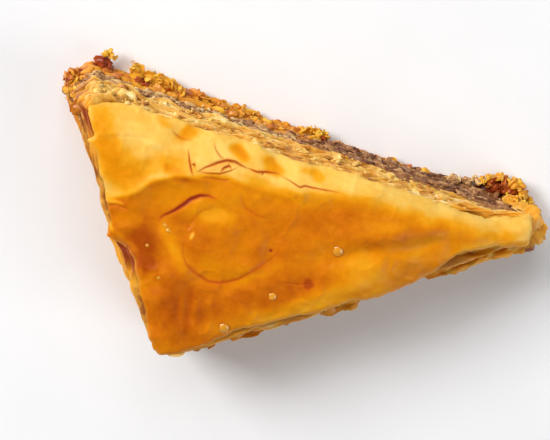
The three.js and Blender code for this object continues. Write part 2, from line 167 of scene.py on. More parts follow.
TIP = np.array([TIP_X, CUT_Y])
BROAD = np.array([TIP_X + LONGEST_CUT, CUT_Y])
SQUARE = np.array([TIP_X + SQUARE_FROM_TIP, CUT_Y + DEPTH])
ALONG_LONG = (SQUARE - TIP) / np.linalg.norm(SQUARE - TIP)
ALONG_SHORT = (SQUARE - BROAD) / np.linalg.norm(SQUARE - BROAD)
SIDE_LENGTHS = (np.linalg.norm(SQUARE - BROAD), np.linalg.norm(SQUARE - TIP), LONGEST_CUT)
INCENTRE = (SIDE_LENGTHS[0] * TIP + SIDE_LENGTHS[1] * BROAD + SIDE_LENGTHS[2] * SQUARE) / sum(SIDE_LENGTHS)
INRADIUS = LONGEST_CUT * DEPTH / sum(SIDE_LENGTHS)


def from_cut(x, y):
    return y - CUT_Y


def from_long(x, y):
    return ALONG_LONG[1] * (x - TIP[0]) - ALONG_LONG[0] * (y - TIP[1])


def from_short(x, y):
    return -ALONG_SHORT[1] * (x - BROAD[0]) + ALONG_SHORT[0] * (y - BROAD[1])


NEAR_SIDE = (7, 1)  # a side's lean sets in at the first of these distances from it, and is full at the second


def at_level(values, level):
    return np.interp(level, LEAN_LEVELS, values)


def lean_of_cut(x, level):
    middle = mix(at_level(LEAN_CUT_MIDDLE, level), at_level(LEAN_CUT_BROAD, level), smooth(-8, 8, x))
    return mix(at_level(LEAN_CUT_TIP, level), middle, smooth(-45, -38, x))


def lean(x, y, level):
    """How far the side leans in at a footprint point, and at a share of the height there."""
    near_cut = smooth(*NEAR_SIDE, from_cut(x, y))
    near_short = smooth(*NEAR_SIDE, from_short(x, y))
    near_long = smooth(*NEAR_SIDE, from_long(x, y))
    short = mix(at_level(LEAN_SHORT_BROAD, level), at_level(LEAN_SHORT_CORNER, level), smooth(-16, 0, y))
    long = mix(at_level(LEAN_LONG_TIP, level), at_level(LEAN_LONG_CORNER, level), smooth(-38, -22, x))
    total = np.maximum(near_cut + near_short + near_long, 1)
    return (lean_of_cut(x, level) * near_cut + short * near_short + long * near_long) / total


# ---- The top sheet's relief ----

def across(line, x, y):
    """Distance from a bent line, its side (1 is left, -1 is right), and how far along it that is, 0 to 1."""
    distance = np.full(np.shape(x), np.inf)
    side = np.zeros(np.shape(x))
    along = np.zeros(np.shape(x))
    for k in range(len(line) - 1):
        ax, ay = line[k]
        dx = line[k + 1][0] - ax
        dy = line[k + 1][1] - ay
        t = clamp01(((x - ax) * dx + (y - ay) * dy) / (dx * dx + dy * dy))
        here = np.hypot(x - ax - t * dx, y - ay - t * dy)
        nearer = here < distance
        distance = np.where(nearer, here, distance)
        side = np.where(nearer, np.sign(dx * (y - ay) - dy * (x - ax)), side)
        along = np.where(nearer, (k + t) / (len(line) - 1), along)
    return distance, side, along


def end_fade(along):
    """0 at both ends of a line, 1 along its middle."""
    return smooth(0, 0.2, along) * smooth(1, 0.8, along)


# The sheet laps over itself along these lines, whose right-hand side stands higher. With each goes how
# high it rises and how far that reaches.
LAPS = (
    (((28, -0.8), (24.9, -4.4), (22.7, -7.6), (20.2, -9.1), (17, -9.3)), 0.9, 5),
    (((24, -12.6), (21.4, -15), (18.4, -16.8), (14.4, -16.3), (9.4, -17.4), (3, -16.4), (-5, -17.5)), 0.7, 4),
)
# Folds: line, rise and width.
FOLDS = (
    (((38, -1), (34, -6.1), (30, -9.4), (25, -12), (19, -12)), 0.6, 2.2),
    (((-6, -9), (-17, -12.6), (-24, -15.8), (-38, -20)), 0.7, 2.6),
    (((-2, -3), (-14, -7.8), (-24, -12.4), (-36, -18.2)), -0.6, 2.2),
    (((1, -12), (-9, -16), (-20, -17.2), (-34, -20)), -0.5, 2.4),
    (((24, 16), (20, 10), (18, 4)), 0.4, 2.4),
)
# Dents: place, depth and width.
DENTS = (
    ((28, -18.4), 0.8, 3),
    ((17.2, -19.6), 1, 2.2),
    ((8.6, -19.4), 1.2, 3),
    ((1, -19.6), 0.9, 2.4),
    ((31.5, 5.6), 1.2, 2.6),
    ((36.5, -3.5), 0.7, 2.4),
)
BLISTER = {
    "at": (12.9, -1), "across": 18.6, "deep": 15.2, "turn": 0.27, "rise": 0.6, "rim": 0.6, "rim_width": 0.2,
}


def shoulder(distance, width):
    return clamp01(1 - distance / width) ** 2


def blister_reach(x, y):
    """0 at the flat blister's middle, 1 on its rim."""
    dx = x - BLISTER["at"][0]
    dy = y - BLISTER["at"][1]
    return oval_reach(dx, dy, BLISTER["across"], BLISTER["deep"], BLISTER["turn"])


def lap_rise(lap, x, y):
    line, rise, reach = lap
    distance, side, along = across(line, x, y)
    return rise * end_fade(along) * smooth(reach, 0, distance) * smooth(0.9, -0.9, side * distance)


def top_height(x, y):
    """The height of the solids' top face."""
    x = np.asarray(x, float)
    y = np.asarray(y, float)
    cut_width = mix(CUT_SHOULDER["tip"], CUT_SHOULDER["broad"], smooth(-8, 26, x))
    z = HEIGHT - TIP_FALL["drop"] * smooth(TIP_FALL["from"], TIP_FALL["to"], x)
    z = z - CUT_SHOULDER["drop"] * shoulder(from_cut(x, y) - lean_of_cut(x, 1), cut_width)
    z = z - LONG_SHOULDER["drop"] * shoulder(from_long(x, y), LONG_SHOULDER["width"])
    z = z - SHORT_SHOULDER["drop"] * shoulder(from_short(x, y), SHORT_SHOULDER["width"])
    z = z + 0.35 * noise(x / 9, y / 7, 3) + 0.2 * noise(x / 3.6, y / 3.1, 5)
    reach = blister_reach(x, y)
    z = z + BLISTER["rise"] * smooth(1, 0.6, reach) - BLISTER["rim"] * bell(reach - 1, BLISTER["rim_width"])
    for lap in LAPS:
        z = z + lap_rise(lap, x, y)
    for line, rise, width in FOLDS:
        distance, _, along = across(line, x, y)
        z = z + rise * end_fade(along) * bell(distance, width)
    for at, deep, wide in DENTS:
        z = z - deep * bell(distance_to(at, x, y), wide)
    return z


# ---- Outline and rings ----

CORNER_POINTS = 25  # along each rounded corner


def outline_path():
    """The footprint as many short straight steps, with its corners rounded."""
    corners = (
        (TIP + (TIP_BLUNT[0], 0), 1.6),
        (BROAD - (BROAD_BLUNT[0], 0), 2.0),
        (BROAD + BROAD_BLUNT[1] * ALONG_SHORT, 1.6),
        (SQUARE, 7.0),
        (TIP + TIP_BLUNT[1] * ALONG_LONG, 1.6),
    )
    path = []
    for k, (at, rounding) in enumerate(corners):
        before = corners[k - 1][0]
        after = corners[(k + 1) % len(corners)][0]
        enter = at + rounding * (before - at) / np.linalg.norm(before - at)
        leave = at + rounding * (after - at) / np.linalg.norm(after - at)
        for t in np.linspace(0, 1, CORNER_POINTS):
            path.append((1 - t) ** 2 * enter + 2 * t * (1 - t) * at + t**2 * leave)
    path.append(path[0])
    return np.array(path)


EDGE_INSET = 2.5  # how far inside the outline the top face's height is read
CLOSING_CELLS = 3  # the last cells of noise round the outline, which lead back to its start


class Around:
    """Evenly spaced points round the footprint, each with the direction that points inwards.

    edge is the height of the top face just inside each point. on_long is 1 along the long side. wall is 1
    along the short side's middle, where the knife has left a smooth wall."""

    def __init__(self, count):
        path = outline_path()
        run = measured(path)
        length = run[-1]
        solid_step = length / SOLID_STEPS
        places = np.arange(count) * length / count
        self.count = count
        self.x, self.y = places_on(path, run, places)
        before_x, before_y = places_on(path, run, (places - solid_step) % length)
        after_x, after_y = places_on(path, run, (places + solid_step) % length)
        size = np.hypot(after_x - before_x, after_y - before_y)
        self.in_x = -(after_y - before_y) / size
        self.in_y = (after_x - before_x) / size
        self.step = places / solid_step
        self.edge = top_height(self.x + EDGE_INSET * self.in_x, self.y + EDGE_INSET * self.in_y)
        self.from_cut = from_cut(self.x, self.y)
        self.from_short = from_short(self.x, self.y)
        self.on_long = smooth(4, 1, from_long(self.x, self.y)) * smooth(3, 8, self.from_cut)
        self.wall = smooth(4, 1, self.from_short) * smooth(-17, -13, self.y) * smooth(26, 22, self.y)

    def noise(self, cells_per_step, row, seed):
        """Unevenness round the outline, in the solids' steps, which meets itself at the start."""
        end = SOLID_STEPS * cells_per_step
        u = self.step * cells_per_step
        return mix(noise(u, row, seed), noise(u - end, row, seed), smooth(end - CLOSING_CELLS, end, u))

    def ring(self, z, further_in, k=slice(None)):
        """The outline, or its points k, at a height: moved in by the side's lean and a further amount."""
        z = np.broadcast_to(z, self.x[k].shape)
        inwards = lean(self.x[k], self.y[k], z / self.edge[k]) + further_in
        return columns(self.x[k] + self.in_x[k] * inwards, self.y[k] + self.in_y[k] * inwards, z)


def drawn_in(ring, distance):
    """A ring drawn evenly towards the middle of the piece."""
    moved = ring.copy()
    moved[:, :2] = INCENTRE + (ring[:, :2] - INCENTRE) * (1 - distance / INRADIUS)
    return moved


# ---- Closed bodies ----

class Bodies:
    """Closed bodies gathered into one mesh, with a value for each vertex under each name."""

    def __init__(self, *names):
        self.vertices = []
        self.triangles = []
        self.values = {name: [] for name in names}
        self.count = 0

    def add(self, vertices, triangles, **values):
        self.vertices.append(vertices)
        self.triangles.append(triangles + self.count)
        self.count += len(vertices)
        for name, kept in self.values.items():
            kept.append(np.broadcast_to(values.get(name, 0.0), (len(vertices),)))

    def piece(self, name, material, slot, node):
        """One object in the frame's place and metres, which stands for the node."""
        vertices = (np.vstack(self.vertices) + TO_CENTRE) * MM
        triangles = np.vstack(self.triangles)
        mesh = bpy.data.meshes.new(name)
        mesh.vertices.add(len(vertices))
        mesh.vertices.foreach_set("co", vertices.ravel())
        mesh.loops.add(3 * len(triangles))
        mesh.loops.foreach_set("vertex_index", triangles.ravel())
        mesh.polygons.add(len(triangles))
        mesh.polygons.foreach_set("loop_start", np.arange(0, 3 * len(triangles), 3))
        mesh.update(calc_edges=True)
        mesh.polygons.foreach_set("use_smooth", np.ones(len(triangles), bool))
        for value_name, kept in self.values.items():
            layer = mesh.attributes.new(value_name, "FLOAT", "POINT")
            layer.data.foreach_set("value", np.concatenate(kept))
        mesh.materials.append(material)
        obj = bpy.data.objects.new(name, mesh)
        bpy.context.scene.collection.objects.link(obj)
        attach(obj, "root")
        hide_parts(node)
        print(f"{name}: {len(triangles)} triangles")


def quads(a, b, c, d):
    """Two triangles for each quad of four vertex arrays."""
    return np.concatenate([columns(a, b, c), columns(a, c, d)])


def strip(low, high, sides):
    """The quads between two rings of vertices, given each ring's first vertex."""
    k = np.arange(sides)
    after = (k + 1) % sides
    return quads(low + k, low + after, high + after, high + k)


def loft(rings):
    """A closed body through a pile of rings, lowest first, with a fan across each end."""
    sides = len(rings[0])
    k = np.arange(sides)
    after = (k + 1) % sides
    last = (len(rings) - 1) * sides
    bottom = np.full(sides, last + sides)
    walls = [strip(low, low + sides, sides) for low in range(0, last, sides)]
    fans = [columns(bottom, after, k), columns(bottom + 1, last + k, last + after)]
    return np.vstack([*rings, rings[0].mean(axis=0), rings[-1].mean(axis=0)]), np.vstack(walls + fans)


def band(sections):
    """A closed ring-shaped body. The sections run over its upper side inwards, then back outwards."""
    sides = len(sections[0])
    total = len(sections) * sides
    walls = [strip(here, (here + sides) % total, sides) for here in range(0, total, sides)]
    return np.vstack(sections), np.vstack(walls)


def turned(points, turn, tilt):
    """Points raised about Y by the tilt, then turned about Z."""
    c, s = math.cos(tilt), math.sin(tilt)
    x = c * points[:, 0] - s * points[:, 2]
    z = s * points[:, 0] + c * points[:, 2]
    c, s = math.cos(turn), math.sin(turn)
    return columns(c * x - s * points[:, 1], s * x + c * points[:, 1], z)


class Flake(NamedTuple):
    """A torn scrap of sheet. It starts at a place inside the piece and points out, at a turn in degrees.

    Its tone runs from 0, yellow or pale, to 1 and more, dark."""
    at: tuple
    turn: float
    long: float
    wide: float
    curl: float
    seed: int
    tone: float
    tilt: float = 0.0
    thick: float = 0.5
    soak: float = 0.0
    burnt: float = 0.0


LEAF_SIDES = 26
LEAF_CIRCLES = (0.22, 0.42, 0.6, 0.76, 0.9, 1.0)


def add_flake(bodies, flake):
    """A thin crumpled leaf with a ragged rim, which curls towards its free end."""
    at, turn, long, wide, curl, seed, tone, tilt, thick, soak, burnt = flake
    angles = 2 * math.pi * np.arange(LEAF_SIDES) / LEAF_SIDES
    torn = noise(angles * 1.9 + 3, 2.5, seed + 3) * 0.22 + noise(angles * 5.3 + 1, 4.5, seed + 5) * 0.2
    circles = [circle * (1 + torn * smooth(0.4, 1, circle)) for circle in LEAF_CIRCLES]
    reach = np.concatenate([[0.0], *circles])
    angle = np.concatenate([[0.0], np.tile(angles, len(LEAF_CIRCLES))])
    full = np.concatenate([[0.0], np.repeat(LEAF_CIRCLES, LEAF_SIDES)])
    u = 0.5 + 0.5 * reach * np.cos(angle)
    v = 0.5 * reach * np.sin(angle)
    crumple = 0.13 * wide * noise(2.2 * u + 0.3, 2.2 * v + 9, seed)
    crumple = crumple + 0.05 * wide * noise(6 * u, 6 * v + 3, seed + 7)
    rise = curl * long * u * u + crumple
    half = 0.5 * thick * (1.15 - 0.75 * full)
    faces = [columns(long * u, wide * v, rise + half), columns(long * u, wide * v, rise - half)]
    count = len(full)
    k = np.arange(LEAF_SIDES)
    after = (k + 1) % LEAF_SIDES
    rim = 1
    upper = [columns(0 * k, rim + k, rim + after)]
    for _ in LEAF_CIRCLES[1:]:
        outer = rim + LEAF_SIDES
        upper.append(quads(rim + k, outer + k, outer + after, rim + after))
        rim = outer
    upper = np.vstack(upper)
    wall = quads(rim + k, count + rim + k, count + rim + after, rim + after)
    points = turned(np.vstack(faces), math.radians(turn), tilt) + np.array(at)
    triangles = np.vstack([upper, upper[:, ::-1] + count, wall])
    bodies.add(points, triangles, tone=tone, soak=soak, burnt=burnt, rim=smooth(0.7, 1, np.tile(full, 2)))


def ball(fineness):
    """The corners and faces of a ball made of triangles, one unit in radius."""
    mesh = bmesh.new()
    bmesh.ops.create_icosphere(mesh, subdivisions=fineness, radius=1)
    corners = np.array([v.co[:] for v in mesh.verts])
    faces = np.array([[v.index for v in f.verts] for f in mesh.faces])
    mesh.free()
    return corners, faces


SWELL_WAVES = 5
WAVE_TURNS = 2.4  # how closely the waves follow each other over a crumb
WAVE_HEIGHT = 0.24
GRAIN = 0.3
UNEVEN_SIZE = (0.75, 1.25)
STRAY_TURN = 0.1  # how far crumbs that follow the side are turned away from it
LOWEST_POINT = 0.01  # no crumb reaches below this height


def crumbs(bodies, rng, centres, sizes, tones, fineness=2, stretch=(1.1, 0.95, 0.7), turns=None, rough=0.5):
    """Uneven lumps: each is a ball, stretched, swollen here and there, and turned.

    Without turns each lies any way up. With turns its longer side follows them, in radians about Z."""
    corners, faces = ball(fineness)
    count = len(centres)
    swell = 1 + GRAIN * rough * (rng.random((count, len(corners))) - 0.5)
    for _ in range(SWELL_WAVES):
        waves = rng.normal(scale=WAVE_TURNS, size=(count, 3))
        swell += WAVE_HEIGHT * rough * np.sin(waves @ corners.T + rng.uniform(0, 2 * math.pi, (count, 1)))
    points = corners * swell[:, :, None] * stretch * rng.uniform(*UNEVEN_SIZE, (count, 1, 3))
    points = points * (sizes / 2)[:, None, None]
    turned_by = rng.normal(size=(count, 4))
    if turns is not None:
        straight = columns(np.cos(turns / 2), 0 * turns, 0 * turns, np.sin(turns / 2))
        turned_by = straight + STRAY_TURN * turned_by
    w, x, y, z = (turned_by / np.linalg.norm(turned_by, axis=1, keepdims=True)).T
    rotation = columns(
        columns(1 - 2 * (y * y + z * z), 2 * (x * y + z * w), 2 * (x * z - y * w)),
        columns(2 * (x * y - z * w), 1 - 2 * (x * x + z * z), 2 * (y * z + x * w)),
        columns(2 * (x * z + y * w), 2 * (y * z - x * w), 1 - 2 * (x * x + y * y)),
    )
    points = np.einsum("nij,nkj->nki", rotation, points) + centres[:, None, :]
    points[:, :, 2] = np.maximum(points[:, :, 2], LOWEST_POINT)
    triangles = faces[None] + (np.arange(count) * len(corners))[:, None, None]
    bodies.add(points.reshape(-1, 3), triangles.reshape(-1, 3), tone=np.repeat(tones, len(corners)), rim=0.5)


# ---- Materials ----

def linear(red, green, blue):
    """A display colour, 0 to 255, as the light that a shader wants, by the sRGB standard's own curve."""
    shares = np.array([red, green, blue]) / 255
    light = np.where(shares <= 0.04045, shares / 12.92, ((shares + 0.055) / 1.055) ** 2.4)
    return (*light.tolist(), 1.0)


NOISE_RANGE = (0.3, 0.7)  # what a noise node's values mostly lie between


class Look:
    """A material being put together. Most methods add a node and return its output."""

    def __init__(self, name):
        self.material = bpy.data.materials.new(name)
        self.material.use_nodes = True
        self.tree = self.material.node_tree
        self.shader = self.tree.nodes["Principled BSDF"]
        self.place = self.tree.nodes.new("ShaderNodeTexCoord").outputs["Object"]

    def set(self, **values):
        """Sets the shader's sockets, or links them to other nodes' outputs."""
        for name, value in values.items():
            self.link(value, self.shader.inputs[name.replace("_", " ")])

    def link(self, source, socket):
        """Sets a socket to a constant, or joins it to another node's output."""
        if isinstance(source, (int, float, tuple)):
            socket.default_value = source
        else:
            self.tree.links.new(source, socket)

    def node(self, kind, output, inputs, **settings):
        """Adds a node with its inputs and settings, and returns one of its outputs."""
        node = self.tree.nodes.new("ShaderNode" + kind)
        for name, value in settings.items():
            setattr(node, name, value)
        for name, source in inputs.items():
            self.link(source, node.inputs[name])
        return node.outputs[output]

    def attribute(self, name):
        return self.node("Attribute", "Fac", {}, attribute_name=name)

    def noise(self, size, detail, roughness=0.55):
        """Mottling whose patches are about size millimetres across."""
        scale = 1 / (size * MM)
        inputs = {"Scale": scale, "Detail": detail, "Roughness": roughness, "Vector": self.place}
        return self.node("TexNoise", "Fac", inputs)

    def math(self, operation, a, b):
        return self.node("Math", 0, {0: a, 1: b}, operation=operation)

    def times(self, attribute, factor):
        return self.math("MULTIPLY", self.attribute(attribute), factor)

    def add(self, *values):
        total = values[0]
        for value in values[1:]:
            total = self.math("ADD", total, value)
        return total

    def spread(self, value, low, high, to_low=0.0, to_high=1.0):
        """Reads low..high of a value as to_low..to_high, held at both ends."""
        inputs = {"Value": value, "From Min": low, "From Max": high, "To Min": to_low, "To Max": to_high}
        return self.node("MapRange", "Result", inputs)

    def mottle(self, size, detail, low, high):
        """Mottling between two values."""
        return self.spread(self.noise(size, detail), *NOISE_RANGE, low, high)

    def toasted(self, size, high, most):
        """How toasted the rim is, in patches about size millimetres across."""
        patches = self.spread(self.noise(size, 2), 0.45, high, 0, most)
        return self.math("MULTIPLY", self.attribute("rim"), patches)

    def ramp(self, value, *stops):
        """Colours along a value. Each stop is its place, 0 to 1, and its red, green and blue."""
        node = self.tree.nodes.new("ShaderNodeValToRGB")
        elements = node.color_ramp.elements
        while len(elements) < len(stops):
            elements.new(0.5)
        for element, (position, *colour) in zip(elements, stops):
            element.position = position
            element.color = linear(*colour)
        self.link(value, node.inputs["Fac"])
        return node.outputs["Color"]

    def mix(self, a, b, share):
        """Mixes two colours. The node has several sockets of each name, so they go by number."""
        return self.node("Mix", 2, {0: share, 6: a, 7: b}, data_type="RGBA")

    def bump(self, height, distance, strength, **over):
        """Fine relief, with its full height in millimetres. It can lie over another bump, its Normal."""
        inputs = {"Strength": strength, "Distance": distance * MM, "Height": height, **over}
        return self.node("Bump", "Normal", inputs)


def glazed_look():
    """The top sheet: satin, syrup-soaked, light gold to deep amber, with dark creases that are partly browned
    and partly painted shade, and with painted light and shade in its amber.
    """
    look = Look("glazed_top_sheet")
    mottle = look.mottle(5.5, 3, -0.07, 0.07)
    fine = look.mottle(1.3, 4, -0.05, 0.05)
    body = look.ramp(
        look.add(look.attribute("amber"), mottle, fine),
        (0, 255, 206, 102), (0.3, 246, 168, 26), (0.5, 236, 146, 0), (0.75, 214, 116, 0), (1, 176, 76, 0),
    )
    # The creases' dark red-brown is partly browning and partly painted shade in the crease.
    lines = look.attribute("browned_and_shaded")
    warm = look.mix(body, linear(204, 92, 4), look.spread(lines, 0.0, 0.5, 0.0, 0.85))
    dark = look.mix(warm, linear(138, 38, 0), look.spread(lines, 0.45, 1.0))
    grain = look.bump(look.noise(0.7, 4, 0.6), 0.05, 0.5)
    look.set(
        Base_Color=look.mix(dark, linear(240, 178, 76), look.times("rim", 0.4)),
        Roughness=look.add(look.mottle(2.4, 3, 0.38, 0.52), look.math("MULTIPLY", lines, 0.3)),
        Normal=look.bump(look.noise(3.2, 2), 0.22, 0.4, Normal=grain),
        Subsurface_Weight=0.2, Subsurface_Scale=0.8 * MM, Subsurface_Radius=(1.0, 0.5, 0.1),
        Coat_Weight=0.08, Coat_Roughness=0.25, Specular_IOR_Level=0.16, IOR=1.4,
    )
    return look.material


def sheet_look():
    """The pale sheets of the stack: creamy where dry, amber where the syrup reached, toasted rims, with
    painted shade further in and in the recesses, the gaps and the mouth, and painted light along the long
    side.
    """
    look = Look("pale_sheets")
    patches = look.mottle(2.6, 4, -0.25, 0.5)
    # This sum holds painted shading: deep darkens further in, partly syrup and partly painted shade; soak
    # holds painted light and shade; tone holds painted shade in the recesses.
    darkness_with_painted_shading = look.add(patches, look.times("deep", 0.5), look.times("soak", 0.5), look.times("tone", 0.5))
    body = look.ramp(
        darkness_with_painted_shading,
        (0, 255, 226, 158), (0.25, 248, 202, 106), (0.5, 228, 172, 66), (0.75, 204, 134, 36),
        (1, 158, 86, 20),
    )
    gold = look.mix(body, linear(222, 160, 70), look.toasted(1.1, 0.65, 0.6))
    # burnt darkens to red-brown: real browning, and painted shade in the mouth, in the sunk sheets' gaps and
    # under the top sheet's broad corner.
    burnt = look.attribute("burnt")
    orange = look.mix(gold, linear(246, 172, 34), look.spread(burnt, 0.0, 0.3))
    look.set(
        Base_Color=look.mix(orange, linear(146, 42, 0), look.spread(burnt, 0.3, 1.0)),
        Roughness=look.mottle(1.6, 2, 0.3, 0.6),
        Normal=look.bump(look.noise(0.4, 3, 0.6), 0.06, 0.6),
        Subsurface_Weight=0.3, Subsurface_Scale=0.7 * MM, Subsurface_Radius=(1.0, 0.55, 0.2),
        Coat_Weight=0.25, Coat_Roughness=0.22, Specular_IOR_Level=0.35,
    )
    return look.material


def nut_look():
    """Ground walnuts: purple-brown skins, tan flesh, and dark syrup between them."""
    look = Look("ground_nuts")
    tone = look.add(look.attribute("tone"), look.mottle(0.9, 3, -0.18, 0.18))
    flesh = look.ramp(
        tone,
        (0, 104, 54, 24), (0.3, 154, 100, 56), (0.55, 188, 136, 84), (0.8, 220, 172, 108), (1, 246, 214, 150),
    )
    look.set(
        Base_Color=flesh,
        Roughness=look.mottle(1.2, 2, 0.4, 0.75),
        Normal=look.bump(look.noise(0.35, 4, 0.65), 0.07, 0.7),
        Subsurface_Weight=0.15, Subsurface_Scale=0.5 * MM, Subsurface_Radius=(1.0, 0.5, 0.3),
        Coat_Weight=0.12, Coat_Roughness=0.25,
    )
    return look.material


def base_look():
    """The crisp base sheets and torn flakes: gold to orange, darker further in from the rims, partly syrup
    and partly painted shade, dark red-brown where burnt.
    """
    look = Look("browned_sheets")
    # deep darkens the sheets further in from their rims: partly syrup, partly painted shade.
    tone = look.add(look.attribute("tone"), look.mottle(2.2, 4, -0.2, 0.2), look.times("deep", 0.3))
    body = look.ramp(
        tone,
        (0, 248, 188, 50), (0.25, 236, 164, 44), (0.5, 214, 130, 42), (0.75, 182, 76, 16), (1, 112, 26, 4),
    )
    look.set(
        Base_Color=look.mix(body, linear(164, 90, 28), look.toasted(0.9, 0.7, 0.5)),
        Roughness=look.mottle(1.6, 2, 0.32, 0.62),
        Normal=look.bump(look.noise(0.4, 4, 0.6), 0.07, 0.7),
        Subsurface_Weight=0.2, Subsurface_Scale=0.6 * MM, Subsurface_Radius=(1.0, 0.45, 0.12),
        Coat_Weight=0.25, Coat_Roughness=0.22, Specular_IOR_Level=0.35,
    )
    return look.material


def syrup_look():
    """Beads of amber syrup: a painted glow in the middle, where a clear bead gathers the light, and painted
    shade round the rim.
    """
    look = Look("syrup_beads")
    # A painted glow in the middle; the rim is darkened below, painted shade.
    middle = look.mix(linear(244, 170, 44), linear(234, 152, 16), look.noise(1.5, 2))
    look.set(
        Base_Color=look.mix(middle, linear(186, 92, 2), look.spread(look.attribute("rim"), 0.72, 1.0)),
        Subsurface_Weight=0.4, Subsurface_Scale=0.8 * MM, Subsurface_Radius=(1.0, 0.6, 0.2),
        Coat_Weight=1.0, Coat_Roughness=0.03, Roughness=0.12, IOR=1.47,
    )
    return look.material


def floor_look():
    look = Look("pale_floor")
    colour = look.ramp(look.noise(30, 3), (0.3, 249, 249, 250), (0.7, 253, 253, 254))
    look.set(Base_Color=colour, Roughness=0.9, Specular_IOR_Level=0.1)
    return look.material


# ---- Sheets, flakes and crumbs ----

# How far in from its rim, and how many of its thicknesses from its middle, a sheet's section runs.
UPPER_SECTION = ((0.0, 0.14), (0.03, 0.36), (0.11, 0.48), (0.35, 0.5), (1.0, 0.5))
SHEET_SECTION = UPPER_SECTION + tuple((inward, -half) for inward, half in reversed(UPPER_SECTION))


CRAG = {"stretch": (1.6, 1.15, 0.42), "rough": 0.62}
FLAKE_ROOT = 1.4  # how far inside the side a flake starts, if it doesn't stand out
FLAKES_BELOW_EDGE = 3
CRUMBS_BELOW_EDGE = 2


def add_sheet(bodies, outer, z, thickness, reach, curl, **values):
    """One thin sheet that runs round the piece: its rim curls, and its inner edge is in the core."""
    rings = []
    for inward, half in SHEET_SECTION:
        ring = drawn_in(outer, reach * inward)
        ring[:, 2] = z + curl * (1 - inward) ** 2 + half * thickness
        rings.append(ring)
    inwards = np.repeat([inward for inward, _ in SHEET_SECTION], len(outer))
    for name, value in values.items():
        values[name] = np.tile(np.broadcast_to(value, z.shape), len(SHEET_SECTION))
    # deep is 0 at the rim and 1 further in; the looks darken with it, partly syrup and partly painted shade
    # under the sheets above.
    bodies.add(*band(rings), rim=1 - smooth(0, 0.25, inwards), deep=inwards, **values)


def side_flakes(line, rng, count, heights, lengths, tones, out, tip=1.0):
    """Small torn scraps at random places round the side, which start inside it and point out.

    tip is how many of them lie at the tip, as a share of how many lie elsewhere."""
    flakes = []
    weights = (1 - line.wall) * mix(1, tip, smooth(-26, -30, line.x))
    for k in rng.choice(line.count, size=count, p=weights / weights.sum()):
        z = min(rng.uniform(*heights), line.edge[k] - FLAKES_BELOW_EDGE)
        outward = math.degrees(math.atan2(-line.in_y[k], -line.in_x[k]))
        flakes.append(Flake(
            at=line.ring(z, FLAKE_ROOT - out, k),
            turn=outward + rng.uniform(-40, 40),
            long=rng.uniform(*lengths),
            wide=rng.uniform(1.2, 3.4),
            tilt=rng.uniform(-0.15, 0.3),
            curl=rng.uniform(-0.12, 0.22),
            thick=rng.uniform(0.25, 0.45),
            seed=int(rng.integers(100, 900)),
            tone=rng.uniform(*tones),
            soak=float(line.from_cut[k] > 4 or line.x[k] < -38),
        ))
    return flakes


def side_crumbs(bodies, line, rng, count, heights, sizes, tones, insets, where, shape):
    """Crumbs at random places round the side, at those heights and distances in from it."""
    k = rng.choice(line.count, size=count, p=where / where.sum())
    low, high = (np.broadcast_to(height, line.x.shape)[k] for height in heights)
    z = np.minimum(mix(low, high, rng.random(count)), line.edge[k] - CRUMBS_BELOW_EDGE)
    size = mix(*sizes, rng.random(count) ** 2)
    centres = line.ring(z, rng.uniform(*insets, count), k)
    turns = np.arctan2(-line.in_x[k], line.in_y[k])
    crumbs(bodies, rng, centres, size, rng.uniform(*tones, count), turns=turns, **shape)


def add_heap(bodies, rng, heap):
    """A crumbly heap of flat crags along a bent line."""
    line, count, spread, heights, sizes, tones = heap
    path = np.array(line)
    run = measured(path)
    x, y = places_on(path, run, rng.uniform(0, run[-1], count))
    stray = rng.normal(scale=spread, size=(count, 2))
    size = mix(*sizes, rng.random(count) ** 1.5)
    z = np.maximum(rng.uniform(*heights, count), 0.55 * size)
    centres = columns(x + stray[:, 0], y + stray[:, 1], z)
    crumbs(bodies, rng, centres, size, rng.uniform(*tones, count), **CRAG)


# ---- The base ----

BASE_POINTS = 620  # points round each base sheet
BASE_SHEETS = 7
BASE_SHEET_THICKNESS = 0.4
BASE_SHEET_REACH = 2.8
LOWEST_SHEET = 0.24  # the height of the middle of the lowest base sheet
BASE_CORE = ((0.0, 1.3), (0.25, 1.0), (3.3, 1.1), (3.6, 1.5))  # heights, and how far in
BASE_CRUMB = {"stretch": (1.7, 0.9, 0.7), "rough": 0.7}

# Browned scraps that stand out of the base sheets: place, turn, length, width, curl, seed and tone.
BASE_FLAKES = (
    # the broad corner
    Flake((45.4, -21, 1.8), -100, 4, 3.8, 0.1, 2, 0.95),
    Flake((45.8, -23.4, 2.7), -88, 2.2, 3.8, 0.15, 3, 0.85),
    Flake((49.2, -18.6, 2), -36, 3.4, 3.2, 0.2, 20, 0.6, tilt=0.3),
    # along the longest cut
    Flake((38.2, -22.2, 2.2), -82, 4.3, 3, 0.14, 5, 0.05),
    Flake((35.4, -22.4, 2.2), -70, 3.2, 3.4, 0.2, 6, 0.1),
    Flake((33, -22, 2.4), -80, 4, 4.2, 0.2, 8, 0.05),
    Flake((29.8, -21.8, 1.8), -84, 3, 4.4, 0.1, 9, 0.25),
    Flake((25.6, -21.8, 1.8), -92, 3.2, 4.2, 0.1, 11, 0.5),
    Flake((21.4, -21.6, 1.8), -96, 2.9, 5, 0.12, 12, 0.3),
    Flake((14.6, -21.6, 1.6), -90, 2.8, 6.4, 0.1, 14, 0.2),
    Flake((0.6, -21.8, 1.8), -90, 3.2, 4.6, 0.1, 17, 0.1),
    # the tip
    Flake((-38.2, -21.4, 1.4), -94, 5.6, 5.6, 0.1, 26, 1),
    Flake((-43, -20.8, 1.8), -104, 6.2, 5.4, 0.3, 27, 0.5),
    Flake((-45.4, -19.6, 2), -138, 5.6, 4.6, 0.2, 28, 0.3),
    Flake((-46.2, -18.2, 2.2), -170, 4.2, 4.4, 0.1, 29, 0.4, tilt=0.1),
)

